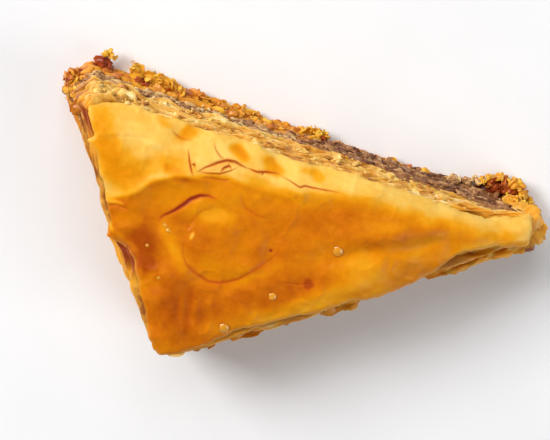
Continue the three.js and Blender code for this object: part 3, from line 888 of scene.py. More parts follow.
# Crumbly heaps: where they run, how many crags, how far they stray, and how high, large and dark they are.
BASE_CRAGS = (
    # the broad corner: orange-red crags, yellow crumbs above them, and the two-coloured chip
    (((51.4, -19.6), (50.4, -17.4), (48.6, -16.6)), 50, 0.45, (1, 5.4), (0.6, 1.7), (0.3, 0.75)),
    (((51.2, -19.8), (49.6, -20.3), (46.8, -20.6)), 50, 0.45, (1, 5), (0.6, 1.7), (0.3, 0.75)),
    (((51, -16.8), (49.8, -17.2), (46.6, -18.9)), 50, 0.5, (5.6, 9.4), (0.5, 1.4), (0, 0.35)),
    (((50.6, -19.4), (48.6, -19.6)), 16, 0.5, (4.4, 6), (0.5, 1.1), (0, 0.2)),
    (((46.6, -22.4), (44.8, -23.6), (43.4, -23.4)), 24, 0.3, (1.2, 3.2), (0.6, 1.4), (0.85, 1)),
    (((46.4, -26), (45.5, -26.5), (44.2, -26.3)), 26, 0.26, (3, 4), (0.5, 1.1), (0, 0.12)),
    # along the longest cut
    (((39.2, -24.6), (39.9, -26.1)), 14, 0.4, (2.4, 3.6), (0.4, 1), (0, 0.2)),
    (((38, -22.8), (35.8, -22.8)), 18, 0.4, (1.2, 3.4), (0.6, 1.4), (0.7, 0.9)),
    (((36, -24.4), (33.8, -25.1), (30.8, -24.2), (28.6, -23.7)), 50, 0.35, (1.4, 4), (0.4, 1.2), (0, 0.25)),
    (((27.1, -23.6), (24, -23.7), (20.6, -23.4), (18.1, -23.3)),
     30, 0.25, (0.8, 3.2), (0.4, 1.2), (0.1, 0.45)),
    (((17.4, -23.5), (13.2, -23.8), (11, -23.5)), 20, 0.25, (0.8, 3.4), (0.4, 1.2), (0.1, 0.4)),
    (((3.2, -23.8), (1.6, -24.3), (-0.4, -24.5), (-2.1, -24.1)), 40, 0.35, (1.4, 3.8), (0.4, 1.2), (0, 0.15)),
    # the rim of crags round the hollow at the tip, red-brown inside it, and golden beyond the top sheet
    (((-35.2, -25.2), (-36.8, -26.6), (-39.3, -27.6), (-42.2, -27.3)),
     90, 0.25, (0.8, 3.2), (0.4, 0.95), (-0.1, 0.22)),
    (((-42.2, -27.2), (-44.7, -25.8), (-47, -23.8), (-48.2, -22)),
     100, 0.4, (1.4, 5.2), (0.5, 1.4), (0, 0.35)),
    (((-37.4, -25.2), (-39.8, -25.8), (-42.6, -25.4)), 90, 0.5, (0.8, 3.2), (0.6, 1.4), (0.6, 0.9)),
    (((-41.2, -24.8), (-42.6, -24.8), (-44.4, -24.1)), 40, 0.4, (4.4, 7.6), (0.4, 1.1), (-0.1, 0.3)),
    (((-46.2, -22.7), (-47.7, -21.4), (-48.9, -19.8), (-48, -17.9)),
     120, 0.45, (3, 11.6), (0.5, 1.5), (-0.05, 0.3)),
)


def spill(line):
    """Where nuts have spilled over the base and the first sheets: the tip half of the longest cut."""
    return smooth(6, 2, line.from_cut) * smooth(12, -4, line.x) * smooth(-47, -42, line.x)


def browned_base(material, rng):
    """The browned sheets under the nuts, on a core that lies flat on the floor."""
    line = Around(BASE_POINTS)
    bodies = Bodies("tone", "rim", "deep")
    bodies.add(*loft([line.ring(z, inset) for z, inset in BASE_CORE]), tone=0.6, deep=1.0)
    rough = 1 - 0.7 * line.wall
    for sheet in range(BASE_SHEETS):
        middle = mix(LOWEST_SHEET, BASE_THICKNESS - 0.2, sheet / (BASE_SHEETS - 1))
        wave = 0.2 * line.noise(0.33, 3 + 1.7 * sheet, 60) + 0.09 * line.noise(1.1, sheet, 61)
        z = np.maximum(middle + wave, LOWEST_SHEET)
        swell = 0.35 * line.noise(0.42, sheet * 1.2, 62) + 0.26 * line.noise(1.4, sheet, 63)
        torn = 0.9 * np.maximum(0, line.noise(0.9, sheet * 2.3, 64) - 0.3)
        inset = 0.12 * (sheet % 2) + 0.3 * spill(line) * (sheet > 1) - 0.5 * line.wall
        outer = line.ring(z, rough * (torn - swell) + inset)
        curl = 0.25 * line.noise(0.6, sheet, 65) * (sheet > 0)
        tone = 0.1 + 0.38 * rng.random()
        add_sheet(bodies, outer, z, BASE_SHEET_THICKNESS, BASE_SHEET_REACH, curl, tone=tone)
    for flake in (*BASE_FLAKES, *side_flakes(line, rng, 60, (0.6, 3.6), (1.6, 2.6), (0.0, 0.75), 0.15)):
        add_flake(bodies, flake)
    loose = Bodies("tone", "rim", "deep")
    for heap in BASE_CRAGS:
        add_heap(loose, rng, heap)
    crumbly = (1 - 0.97 * line.wall) * (1 - 0.85 * spill(line) * smooth(-4, -12, line.x))
    side_crumbs(loose, line, rng, 200, (0.5, 4.0), (0.6, 1.6), (0.0, 0.6), (0.0, 0.5), crumbly, BASE_CRUMB)
    bodies.piece("browned_base", material, "base_pastry", "base_sheets")
    loose.piece("base_crumbs", material, "base_pastry", "base_sheets")


# ---- The nuts ----

# The heap of tan crumbs of nut that lies before the hollow at the tip.
SPILLED_NUTS = (
    ((-28.4, -23.4), (-31, -24), (-33, -24.6), (-35, -25.2)), 56, 0.35, (0.8, 3.6), (0.5, 1.2), (0.45, 0.95),
)

NUTS_SET_BACK = (-0.25, 0.7)  # under the stack, along the tip half of the longest cut and the broad half
NUT_POINTS = 700  # points round each row of the nuts' core
NUT_ROWS = 17
CORE_TONE = 0.4
CORE_END = 0.3  # how far the core runs into the layers under and over it
CORE_END_INSET = 1.6
NUT_STREAK = {"stretch": (2.4, 0.9, 0.6), "rough": 0.8}
NUT_BIT = {"stretch": (1.4, 1.0, 0.7), "rough": 0.9}


def nut_layer(material, rng):
    """Ground nuts pressed into a layer: a lumpy core, with the crumbs that show along its sides."""
    line = Around(NUT_POINTS)
    bodies = Bodies("tone", "rim", "deep")
    on_cut = smooth(6, 2, line.from_cut)
    back = on_cut * mix(*NUTS_SET_BACK, smooth(-6, 10, line.x)) + 0.3 * (1 - on_cut)
    low = mix(BASE_THICKNESS, 1.7, spill(line))
    high = mix(STACK_Z, STACK_Z + 0.8, spill(line))
    lighter = 0.18 * smooth(-6, 14, line.x) - 0.12 * smooth(-6, -20, line.x)
    end_tone = np.full(line.count, CORE_TONE)
    rings = [line.ring(low - CORE_END, CORE_END_INSET)]
    tones = [end_tone]
    for row in range(NUT_ROWS):
        share = mix(0.02, 0.98, row / (NUT_ROWS - 1))
        lumps = 0.3 * line.noise(0.55, 5 * share, 70) + 0.2 * line.noise(1.4, 9 * share, 71)
        rings.append(line.ring(mix(low, high, share), 0.35 + back - lumps))
        patches = 0.38 + lighter + 0.32 * line.noise(0.4, 7 * share, 72)
        tones.append(patches + 0.15 * line.noise(1.3, row * 1.9, 73))
    rings.append(line.ring(high + CORE_END, CORE_END_INSET))
    bodies.add(*loft(rings), tone=np.concatenate([*tones, end_tone, [CORE_TONE, CORE_TONE]]), deep=1.0)
    heights = (low + 0.15, high - 0.1)
    broad = 1 - smooth(10, -6, line.x) * on_cut
    for near, tone, where in ((NUTS_SET_BACK[0] + 0.1, -0.05, 1 - broad), (0.5, 0.3, broad)):
        share = where.sum() / line.count
        for count, sizes, tones, insets, shape in (
            (1300, (0.4, 1.2), (tone, tone + 0.7), (near, near + 0.4), NUT_STREAK),
            (750, (0.3, 0.7), (tone, tone + 0.75), (near - 0.1, near + 0.3), NUT_BIT),
        ):
            side_crumbs(bodies, line, rng, int(count * share), heights, sizes, tones, insets, where, shape)
    add_heap(bodies, rng, SPILLED_NUTS)
    bodies.piece("ground_nut_layer", material, "ground_nuts", "nut_filling")


# ---- The stack of pale sheets ----

STACK_POINTS = 640  # points round each of the stack's sheets
STACK_SHEETS = 18
TOP_OF_SHEETS = 0.95  # share of the side's height that the pale sheets reach
SUNK_SHEETS = (5, 9, 13)  # they have sunk back along the longest cut
STACK_SHEET_THICKNESS = 0.42
STACK_SHEET_REACH = 2.6
CORE_INSET = 1.1  # how far the core lies inside the sheets' own side
PUFF = {"stretch": (1.9, 0.9, 0.7), "rough": 0.8, "fineness": 3}
SHEET_BIT = {"stretch": (1.5, 0.9, 0.7), "rough": 0.9}

# The gap under the top sheet's rim on the short side, darkened with painted shade.
MOUTH = ((33.4, 6.6), (31.6, 8.0), (30.2, 9.6))

# Scraps that stand out of the stack: place, turn, length, width, curl, seed and tone.
STACK_FLAKES = (
    # the broad end, and two dark ones in the hollow at the tip
    Flake((45.4, -17.8, 12.2), -70, 4.6, 4.2, -0.1, 32, 0.8),
    Flake((40.6, -19.2, 14.8), -85, 3.2, 4.4, -0.14, 35, 0.2),
    Flake((47.4, -15.4, 13), -20, 3, 4, -0.1, 36, 1, soak=0.4, burnt=0.75),
    Flake((-42.6, -19.8, 12), -150, 5.4, 3.6, -0.12, 38, 1.2, soak=0.9),
    Flake((-44.4, -17.6, 11), 174, 4.6, 3.2, -0.1, 41, 1.2, soak=1),
    # golden crinkles beyond the top sheet's end
    Flake((-44.2, -23.6, 12.4), -152, 3, 3.2, 0.1, 42, 0.5, soak=0.2, burnt=0.24),
    Flake((-45, -22.4, 13.2), -170, 3.4, 3, -0.12, 43, 0.3, soak=0.1, burnt=0.24),
    Flake((-45.2, -21.4, 12), 178, 4.6, 3.4, 0.14, 44, 0.6, soak=0.2, burnt=0.24),
    Flake((-45.6, -20, 13), 170, 4, 3, -0.1, 45, 0.3, soak=0.1, burnt=0.24),
    Flake((-45.6, -18.8, 11.6), 158, 2.8, 2.8, 0.1, 46, 0.5, soak=0.2, burnt=0.06),
    # pale gold sheets over the nuts beside the hollow
    Flake((-43.8, -21.8, 8.2), -110, 3.4, 4.4, -0.12, 56, 0.3, burnt=0.16),
    Flake((-42.6, -22, 6.8), -100, 3.4, 5, 0.1, 57, 0.2, burnt=0.2),
    # the browned sheet that stands out under the top one, at three places along the long side
    Flake((3.2, 15.1, 15.6), 125, 3.3, 8.4, -0.04, 58, 0.2, burnt=0.4),
    Flake((-12.6, 4.6, 15.6), 125, 3.3, 8.6, -0.05, 61, 0.2, burnt=0.44),
    Flake((-14.6, 3.2, 14.9), 127, 3.4, 5, 0.05, 62, 0.3, burnt=0.36),
    Flake((-29.2, -8.4, 14.6), 126, 3.2, 7.6, -0.05, 53, 0.2, burnt=0.38),
    Flake((-33.2, -11.2, 14.2), 126, 3.4, 8, -0.04, 54, 0.2, burnt=0.38),
    Flake((-43.6, -18.4, 13.6), 134, 3.6, 4.4, -0.06, 47, 0.4, soak=0.2, burnt=0.34),
    Flake((-40.8, -16.4, 14.2), 126, 3.2, 6.4, -0.04, 48, 0.2, soak=0.1, burnt=0.34),
    Flake((-37, -13.8, 14.6), 126, 3, 6.6, -0.05, 49, 0.2, soak=0.1, burnt=0.34),
)


def ledge(line):
    """How far the sheet under the top one sticks out along the long side."""
    reaches = []
    for start, end, out in LEDGES:
        reaches.append(out * smooth(start, start + 5, line.x) * smooth(end, end - 5, line.x))
    return line.on_long * np.max(reaches, axis=0)


def tuck(line):
    """How far the top rib has sunk in at one place along the long side."""
    return line.on_long * TUCK["in"] * bell(line.x - TUCK["at"], TUCK["width"])


def hollow(line):
    """How far the sheets have sunk back under the top one at the broad end."""
    return 1.2 * smooth(2, -10, line.y) * smooth(4, 1, line.from_short)


def stack_profile(line):
    """The solids' bulging side: shares of the stack's height, and how far in the side lies there."""
    shares = [0.0]
    insets = [np.full(line.count, 0.6)]
    top = STACK_RIBS - 1
    for rib in range(STACK_RIBS):
        uneven = 0.5 * line.noise(1 / 2.2, rib * 1.7, 20 + rib)
        if rib > 0:
            shares.append(rib / STACK_RIBS)
            insets.append(RIB_DEPTH + 0.6 * uneven + (hollow(line) if rib == top else 0))
        standing = uneven
        if rib == top:
            standing = uneven + tuck(line) - TOP_OVERHANG
        if rib == top - 1:
            standing = uneven - ledge(line)
        shares.append((rib + 0.5) / STACK_RIBS)
        insets.append(standing)
    return shares, insets


def inset_at(profile, share):
    shares, insets = profile
    k = min(max(np.searchsorted(shares, share) - 1, 0), len(shares) - 2)
    return mix(insets[k], insets[k + 1], clamp01((share - shares[k]) / (shares[k + 1] - shares[k])))


def pale_stack(material, rng):
    """Thin sheets that run round the stack's side, over a core that they stand out of."""
    line = Around(STACK_POINTS)
    profile = stack_profile(line)
    names = ("tone", "rim", "deep", "soak", "burnt")
    halves = (Bodies(*names), Bodies(*names))
    on_cut = smooth(5, 1.5, line.from_cut) * smooth(1, 4, line.from_short)
    # Less soak on the long side, 0.6, is painted light there, where the side faces away from the lamps.
    soak = (1 - on_cut) * (1.1 - 0.55 * smooth(-10, 4, line.y)) - 0.3 * ledge(line) - 0.6 * line.on_long
    soak = soak + 0.45 * smooth(36, 42, line.x) * on_cut
    # This darker stretch along the middle of the longest cut is painted shade for the gaps between its
    # sheets.
    soak = soak + 0.7 * smooth(11, 6, line.x) * smooth(-15, -9, line.x) * on_cut
    mouth, _, _ = across(MOUTH, line.x, line.y)
    lowered = mix(1, 0.84, smooth(-37, -43, line.x))
    core = [line.ring(STACK_Z - 0.2, 1.8)]
    for share in np.linspace(0.04, 0.9, 12):
        height = mix(STACK_Z, line.edge, share * lowered)
        core.append(line.ring(height, inset_at(profile, share) + CORE_INSET))
    under_top = mix(STACK_Z, line.edge - 0.7, lowered)
    core.append(line.ring(under_top, 2.2))
    core.append(drawn_in(line.ring(under_top - 0.3, 0.0), 5))
    halves[0].add(*loft(core), tone=0.5, deep=1.0)
    rough = 1 - 0.6 * line.wall
    wall_out = mix(0.3, 0.45, smooth(2, 10, line.y)) * line.wall
    for sheet in range(STACK_SHEETS):
        share = TOP_OF_SHEETS * (sheet + 0.4) / STACK_SHEETS
        wave = 0.42 * line.noise(1 / 3.1, 5 * share, 50) + 0.16 * line.noise(1.1, sheet * 0.7, 51)
        z = mix(STACK_Z, line.edge, share * lowered) + wave * smooth(0, 0.1, share)
        swell = 0.5 * line.noise(0.5, 9 * share, 52) + 0.26 * line.noise(1.3, 17 * share, 53)
        swell = swell + 0.1 * line.noise(3.1, sheet * 1.3, 57)
        torn = 0.9 * np.maximum(0, line.noise(0.5, sheet * 2.9, 54) - 0.4)
        first = smooth(0.12, 0, share)
        patchy = smooth(-0.3, 0.3, line.noise(0.25, sheet * 3.1, 58))
        gap = 0.9 * on_cut * patchy * smooth(30, 20, line.x) * smooth(-34, -26, line.x)
        gap = gap * (sheet in SUNK_SHEETS)
        inset = inset_at(profile, share) + first * (0.5 * spill(line) - 0.3 * on_cut) + gap
        opening = 1.5 * bell(mouth, 3.0) * smooth(0.38, 0.48, share)
        opening = opening - 1.4 * bell(mouth, 5) * bell(share - 0.28, 0.1)
        outer = line.ring(z, inset + opening - wall_out + rough * (torn - swell))
        curl = 0.3 * line.noise(0.5, sheet * 1.1, 55)
        thick = STACK_SHEET_THICKNESS * (1 + 0.9 * np.maximum(0, line.noise(0.9, sheet * 1.9, 56)))
        # Painted shade in the gap of the mouth.
        mouth_painted_shade = 0.95 * bell(mouth, 3.2) * (share > 0.36)
        streak = 0.5 * on_cut * smooth(-27, -31, line.x) * smooth(0.45, 0.55, share)
        lip = bell(mouth, 5) * bell(share - 0.28, 0.12)
        toasted = (0.36 + 0.3 * smooth(0.68, 0.8, share)) * line.on_long
        toasted = toasted * smooth(-0.9, 0.6, line.noise(0.4, sheet * 1.7, 59))
        # Painted shadow on the short side's sheets under the top sheet's broad corner.
        painted_shadow_under_top = 0.95 * (1 - on_cut) * bell(line.y + 14.8, 4.6) * smooth(40, 43, line.x)
        painted_shadow_under_top = painted_shadow_under_top * smooth(0.4, 0.55, share)
        # The mouth, half the sunk sheets' gap and the short side under the top sheet's corner are painted
        # shade.
        burnt = np.max([mouth_painted_shade, streak, 0.5 * gap, toasted, 0.3 * lip, painted_shadow_under_top], axis=0)
        # Painted shade: recessed sheets are darker and those that stand out are paler, by 0.75 of their
        # swell.
        tone = 0.35 * rng.random() + 0.25 - 0.75 * swell - 0.5 * lip
        half = halves[sheet * 2 // STACK_SHEETS]
        add_sheet(half, outer, z, thick, STACK_SHEET_REACH, curl, tone=tone, soak=soak, burnt=burnt)
    upper = halves[1]
    for flake in (*STACK_FLAKES, *side_flakes(line, rng, 46, (9.5, 18), (1.4, 2.4), (0, 0.5), 0.1, tip=0.0)):
        add_flake(upper, flake)
    away = on_cut * smooth(-34, -26, line.x)
    broad = on_cut * smooth(34, 40, line.x)
    for count, heights, sizes, tones, insets, where, shape in (
        (40, (9.6, 19.5), (0.8, 1.5), (0.6, 1.2), (0.35, 0.75), away, PUFF),
        (150, (9.2, 19.5), (0.3, 0.9), (0.2, 1.4), (0.0, 0.5), away, SHEET_BIT),
        (120, (9.6, 20.5), (0.4, 1.3), (0.4, 1.5), (0.05, 0.5), broad, SHEET_BIT),
    ):
        side_crumbs(upper, line, rng, count, heights, sizes, tones, insets, where, shape)
    for bodies, name in zip(halves, ("lower_pale_sheets", "upper_pale_sheets")):
        bodies.piece(name, material, "glazed_pastry", "pastry_stack")


# ---- The top sheet ----

# The top sheet's rim, from the tip's corner along the longest cut, the short side and the long side.
TOP_RIM = (
    (-44.6, -24.2), (-40.5, -22.4), (-35.9, -21.2), (-29, -20.9), (-23.2, -21.4), (-7.1, -21.7),
    (3, -20.7), (8.1, -20.5), (17.5, -21.3), (24.8, -20.5), (30.8, -20.9), (35.8, -20.7), (39.5, -21.1),
    (42.7, -20.4), (46, -19.2), (47.9, -17.9), (46.6, -15.2), (45.3, -13.4), (46, -11.9), (44, -10.6),
    (42, -7), (39.2, -2.4), (37.2, 1.2), (36.2, 4), (36, 5.2), (33.6, 5.7), (31.6, 6.5), (29.6, 8),
    (28.2, 10.4), (26.6, 13.3), (24.8, 16.7), (22.9, 19.6), (20.6, 23.2), (18.9, 24.9), (16.4, 24.4),
    (12.4, 21.8), (8.4, 18.4), (5.7, 15.7), (3.7, 14.3), (1.6, 13.1), (-0.9, 11.7), (-3.7, 9.6),
    (-7.1, 7.8), (-10.4, 5.8), (-13.6, 3.2), (-16.7, 1.9), (-19.4, 0.7), (-26.9, -5.2), (-29.8, -8.9),
    (-32.6, -12.9), (-37.2, -15.3), (-40.4, -16.2), (-43.4, -17.2), (-45.9, -18.1), (-45.7, -20.8),
)

# Cracks and creases in the top sheet: line, depth, width, and how dark it is painted, partly browning and
# partly painted shade in the crease.
CREASES = (
    # the slit, with its lifted lip
    (((27.7, -0.8), (27.2, -2.4), (25.3, -4.3), (23.9, -6.2), (23.1, -7.5), (21.6, -8.7), (20, -9.2),
      (18.1, -9)),
     0.08, 0.42, 1.3),
    (((26.7, -16.6), (25.8, -14.5), (25.1, -13.2), (24.3, -12)), 0.12, 0.2, 0.8),
    (((25.3, -13.9), (24.7, -14.2), (24.4, -13.6)), 0.12, 0.2, 0.8),
    # the tear's two lips and its long tail
    (((23.6, -13.1), (22.4, -14.3), (20.4, -15.8), (18.7, -16.8), (17.1, -17), (15.5, -16.7), (13.8, -16.5)),
     0.12, 0.28, 0.9),
    (((14.6, -16.6), (12.3, -16.5), (10.3, -17), (7.6, -17.4)), 0.1, 0.24, 0.85),
    (((23.6, -13.1), (22.2, -13.3), (19.3, -14), (17.5, -15.2), (16.3, -16.3)), 0.1, 0.18, 0.7),
    (((19.4, -14.2), (18.9, -15.3), (18, -16), (17.4, -15.5)), 0.15, 0.24, 0.9),
    (((8.2, -17.2), (5.6, -16.9), (3.4, -16.4), (2.5, -16.9), (0.9, -17), (-2.8, -17.5), (-5.4, -17.8)),
     0.08, 0.18, 0.75),
    (((11.4, -16.1), (10.8, -16.8)), 0.25, 0.15, 0.6),
    (((22.2, -19.4), (21.3, -17.9), (20.1, -17), (18.5, -16.8)), 0.12, 0.2, 0.45),
    (((22.5, -12.4), (19.9, -12.7), (17.9, -13), (16.9, -13.5)), 0.2, 0.2, 0.35),
    # folds that hang from the rim of the longest cut
    (((30.9, -19), (29.8, -18.2), (28.4, -17.8), (26.2, -18)), 0.1, 0.25, 0.4),
    # the arcs of the two bubbles
    (((13.8, -11.5), (13.3, -10.2), (12.3, -9.1), (10.1, -8.4), (8.3, -8.2), (6.8, -8.4)), 0.16, 0.3, 0.3),
    (((21.7, -0.4), (21.4, 2), (20.7, 3.9), (19.7, 5.1), (17.9, 6.1), (16.1, 6.8), (14.2, 7.3), (12.3, 7),
      (10.5, 6.2), (8.8, 5.1), (7, 3), (5.5, 1.2), (4, -0.7), (3, -2.6), (3.2, -4.2)),
     0.1, 0.34, 0.6),
    (((21.7, -0.4), (21.4, -3), (20.4, -5.6), (18.2, -7.4)), 0.1, 0.3, 0.18),
    (((0.6, 3), (-3.3, 2.3), (-5.2, 1.5)), 0.15, 0.2, 0.4),
    (((45.4, -13), (40.4, -15.1), (34.6, -16.2)), 0.2, 0.5, 0.1),
    (((38.2, -0.6), (36.4, -1.6), (33.6, -1.4)), 0.25, 0.35, 0.15),
    # wrinkles beside the square corner
    (((18.7, 12.7), (17.6, 15.6), (15.8, 18.3)), 0.12, 0.5, 0.1),
    (((16.9, 11.7), (15.6, 15), (13.8, 18.1)), 0.12, 0.5, 0.1),
    (((14.5, 11.3), (13.4, 14), (11.7, 16.9)), 0.12, 0.5, 0.1),
)

# Raised lines in the top sheet: line, rise, width, and how much paler it is than what lies beside it, a
# painted highlight along the crest.
CRESTS = (
    (((41, 0.4), (38, -2.4), (34.2, -5.2), (31.4, -8.9), (27.4, -11.1), (23.4, -12.4)), 0.3, 0.8, 0.2),
    (((45.8, -12.9), (41.4, -14.9), (36.6, -15.6), (31, -15.2)), 0.3, 0.8, 0.1),
    (((36.8, 2.6), (33.8, 4.2), (30.6, 5.4), (28, 7.8), (27, 11.2)), 0.4, 0.7, 0.2),
    (((27.6, -1.8), (24.6, 1.6), (21.4, 4.6), (18.4, 7.4)), 0.3, 1.6, 0.12),
    (((13.9, -13.4), (8.4, -13.5), (3.4, -14)), 0.2, 0.7, 0.1),
    (((8.4, 17.2), (1.6, 12.2), (-7.1, 6.9), (-16.7, 0.9), (-26.4, -6.2)), 0.1, 0.9, 0.2),
    (((-30.6, -11.8), (-35.2, -15.4), (-40.4, -17.4), (-46.2, -19.8)), 0.2, 0.8, 0.16),
    (((38.6, -1.5), (36.9, -2), (35.1, -2.2)), 0.35, 0.45, 0.5),
    (((37.6, 0.4), (36.3, 2.6), (34.9, 4.4)), 0.3, 0.4, 0.45),
    (((20.4, 0.5), (20.4, -0.4), (20.2, -1.4)), 0.3, 0.35, 0.7),
    (((17.9, 11.4), (17.1, 15.8), (16, 20.4)), 0.16, 0.9, 0.1),
    (((15.6, 10.4), (14.6, 14.8), (13.3, 19.4)), 0.16, 0.9, 0.1),
    (((13.1, 9.4), (12.1, 13.4), (10.6, 17.2)), 0.16, 0.9, 0.1),
)

# Small browned spots in the top sheet: place, radius and darkness.
SPOTS = (
    ((4.5, -2.5), 0.32, 1),
    ((-4.8, 1.7), 1.25, 0.72),
    ((3.4, -14.2), 0.25, 0.5),
)


def almond(x, y):
    """1 in the almond-shaped opening between the tear's lips."""
    along = clamp01((23.6 - x) / 7)
    middle = -13.1 - 3.7 * along - 0.4 * np.sin(math.pi * along)
    half = 0.15 + 1.0 * np.sin(math.pi * along)
    within = (x < 23.8) & (x > 16.4)
    return within * smooth(half, 0.7 * half, np.abs(y - middle))


def strength_of(line, wide, x, y):
    """How strongly a crease or a crest shows at a place, 0 to 1. It tapers towards its ends."""
    distance, _, along = across(line, x, y)
    taper = np.sin(math.pi * along) ** 0.6
    return taper * bell(distance, wide * (0.35 + 0.65 * taper))


def fine_relief(x, y):
    """What the top sheet has beyond the solids' relief: cracks, lips, wrinkles and the skin's own grain."""
    z = 0.06 * rough_noise(x / 1.5, y / 1.2, 31) + 0.16 * noise(x / 2.8, y / 2.2, 34)
    z = z + 0.16 * (1 - np.abs(noise(x / 4.6 + 0.3 * noise(x / 2, y / 2, 37), y / 3.4, 36))) ** 4
    z = z - 0.65 * lap_rise(LAPS[0], x, y) - 0.3 * lap_rise(LAPS[1], x, y)
    reach = blister_reach(x, y)
    z = z - 0.35 * smooth(1, 0.6, reach) + 0.45 * bell(reach - 1, BLISTER["rim_width"])
    for line, deep, wide, _ in CREASES:
        z = z - deep * strength_of(line, wide, x, y)
    for line, rise, wide, _ in CRESTS:
        z = z + rise * strength_of(line, wide, x, y)
    for at, radius, _ in SPOTS:
        z = z - 0.12 * bell(distance_to(at, x, y), radius)
    return z - 0.2 * almond(x, y)


def browning_and_crease_shade(x, y):
    """How dark the creases and spots are painted at a place, 0 to 1: the spots browned, the creases partly
    browned and partly painted shade, and a little painted shade in the almond opening.
    """
    dark = 0.1 * almond(x, y)
    for line, _, wide, browned_and_shaded in CREASES:
        dark = np.maximum(dark, browned_and_shaded * strength_of(line, wide, x, y))
    for at, radius, browned_and_shaded in SPOTS:
        away = distance_to(at, x, y) / radius + 0.2 * noise(x / 0.8, y / 0.8, 47)
        dark = np.maximum(dark, browned_and_shaded * smooth(1.35, 0.6, away))
    return dark


# The pale band beside the longest cut, partly the sheet's own paler colour and partly painted light on the
# shoulder that slopes towards the lamps, ends at this line, which runs from the short side to the tip.
BAND_EDGE = (
    (42, 1.5), (38, -2.2), (34.2, -4.9), (31.4, -8.6), (27.4, -10.8), (22.2, -12.5), (17.1, -13.7),
    (13.9, -13.3), (8.4, -13.7), (4.3, -14.3), (-4.6, -15.9), (-10.2, -17), (-18.4, -17.4),
    (-28.1, -17.6), (-37, -17.8), (-48, -18),
)

# Pools where the top sheet is darker (more than 0), from the syrup and partly painted shade in hollows, or
# paler (less than 0), from thinner syrup and partly painted light on slopes: place, length, width, turn in
# degrees, and how much.
SYRUP = (
    # in the light band: the broad end, the dents beside the cut, and the tip
    ((38, -9), 14, 9, -20, 0.2),
    ((33.6, -9), 15, 5, 39, 0.12),
    ((27, -12.6), 9, 4, -10, 0.16),
    ((45.5, -15.5), 4, 6, 0, 0.1),
    ((27.4, -19.2), 4.6, 2.6, 20, 0.42),
    ((32.4, -20), 3, 1.6, 0, 0.25),
    ((16.6, -18.7), 3.8, 1.9, -25, 0.5),
    ((9.2, -18.4), 5, 2.1, -14, 0.4),
    ((1.2, -19.3), 4.5, 2, 0, 0.3),
    ((-33, -19.8), 14, 4, 0, 0.1),
    ((42.6, -12.4), 15, 5, -61, 0.26),
    ((41.5, -19), 6, 3, 0, 0.12),
    ((36.7, -10.1), 5, 4, 0, 0.14),
    ((27.9, -11.6), 5, 2, -15, 0.2),
    ((10, -14.4), 14, 2.4, 3, 0.16),
    ((-5.6, -16.6), 9, 3, 10, 0.12),
    ((-39.4, -18.8), 7, 3.4, 0, 0.22),
    ((-29.9, -14.2), 10, 3, 36, 0.2),
    ((0.5, -14.6), 8, 3, 0, -0.14),
    ((20, -18.6), 3, 3, 0, -0.12),
    ((-42.5, -21.2), 6, 3.5, 0, 0.2),
    # the short side and its corners
    ((39, -4.6), 5, 3, 0, -0.26),
    ((33.5, 0), 10, 13, 30, 0.28),
    ((29.6, 4.4), 6, 7, 0, 0.3),
    ((27.6, 8), 4, 4, 0, 0.35),
    ((19.5, 14.5), 19, 12, -52, 0.34),
    ((22.9, 2.8), 11, 3, -43, -0.16),
    ((32.7, -4.4), 5, 5, 0, -0.2),
    ((32.9, 1.4), 5, 6, 20, -0.18),
    ((25.2, 12), 10, 4.5, -60, -0.14),
    # the blister and round it
    ((12.9, -1), 14, 11, 15, 0.14),
    ((17.4, -5.5), 8, 3.4, 0, -0.22),
    ((6, 3.6), 13, 2, 45, -0.14),
    ((3.5, -7.5), 15, 8, 0, 0.14),
    ((14.5, 12), 8, 8, 0, 0.1),
    ((-2.8, 3.2), 12, 5, 35, 0.12),
    ((22.3, -0.6), 11, 8, 0, 0.2),
    ((9.1, 7.5), 8, 5, 0, 0.16),
    ((2.2, -0.4), 10, 8, 30, 0.18),
    ((-6.9, -10.6), 12, 6, 0, 0.22),
    # the long side
    ((5, 10), 18, 9, 38, 0.2),
    ((-4, 6.6), 32, 3, 35, -0.22),
    ((-7, 0), 10, 7, 30, 0.1),
    # streaks towards the tip
    ((-12.5, -15.6), 15, 3.2, 14, 0.14),
    ((-20.5, -13.6), 17, 2.6, 24, 0.16),
    ((-14, -4.6), 9, 6, 20, -0.16),
    ((-26, -11.4), 10, 3.6, 30, -0.14),
    ((-38, -18), 20, 6, 20, -0.2),
)


def amber(x, y):
    """How deep the syrup's colour is at a place, 0 to 1, with painted light and shade in it: painted light in
    the pale band, painted highlights on the crests, and painted light and shade in the pools.
    """
    distance, side, _ = across(BAND_EDGE, x, y)
    into_band = side * distance + 0.5 * noise(x / 3, y / 3, 41)
    broad = smooth(0, 16, x)
    # Paler in the band: partly its own colour, partly painted light.
    value = 0.57 - 0.5 * smooth(mix(-1.4, -0.5, broad), mix(2.6, 1.2, broad), into_band)
    # A painted highlight along each crest.
    for line, _, wide, pale in CRESTS:
        value = value - pale * strength_of(line, wide, x, y)
    strayed_x = 0.7 * noise(x / 2.1, y / 2.1, 45)
    strayed_y = 0.7 * noise(x / 2.1, y / 2.1, 46)
    # The pools: partly syrup, partly painted shade and painted light.
    for at, long, wide, turn, more in SYRUP:
        reach = oval_reach(x - at[0] + strayed_x, y - at[1] + strayed_y, long, wide, math.radians(turn))
        value = value + more * np.exp(-0.7 * reach**3)
    return value


CHUNK = 4000  # points that are compared with a line at a time, to spare memory


def in_chunks(points):
    return np.array_split(points, max(1, len(points) // CHUNK))


def nearest(points, loop):
    """Distance of each point from a closed line, given as many close points."""
    distances = []
    for chunk in in_chunks(points):
        distances.append(np.sqrt(((chunk[:, None, :] - loop[None]) ** 2).sum(axis=2)).min(axis=1))
    return np.concatenate(distances)


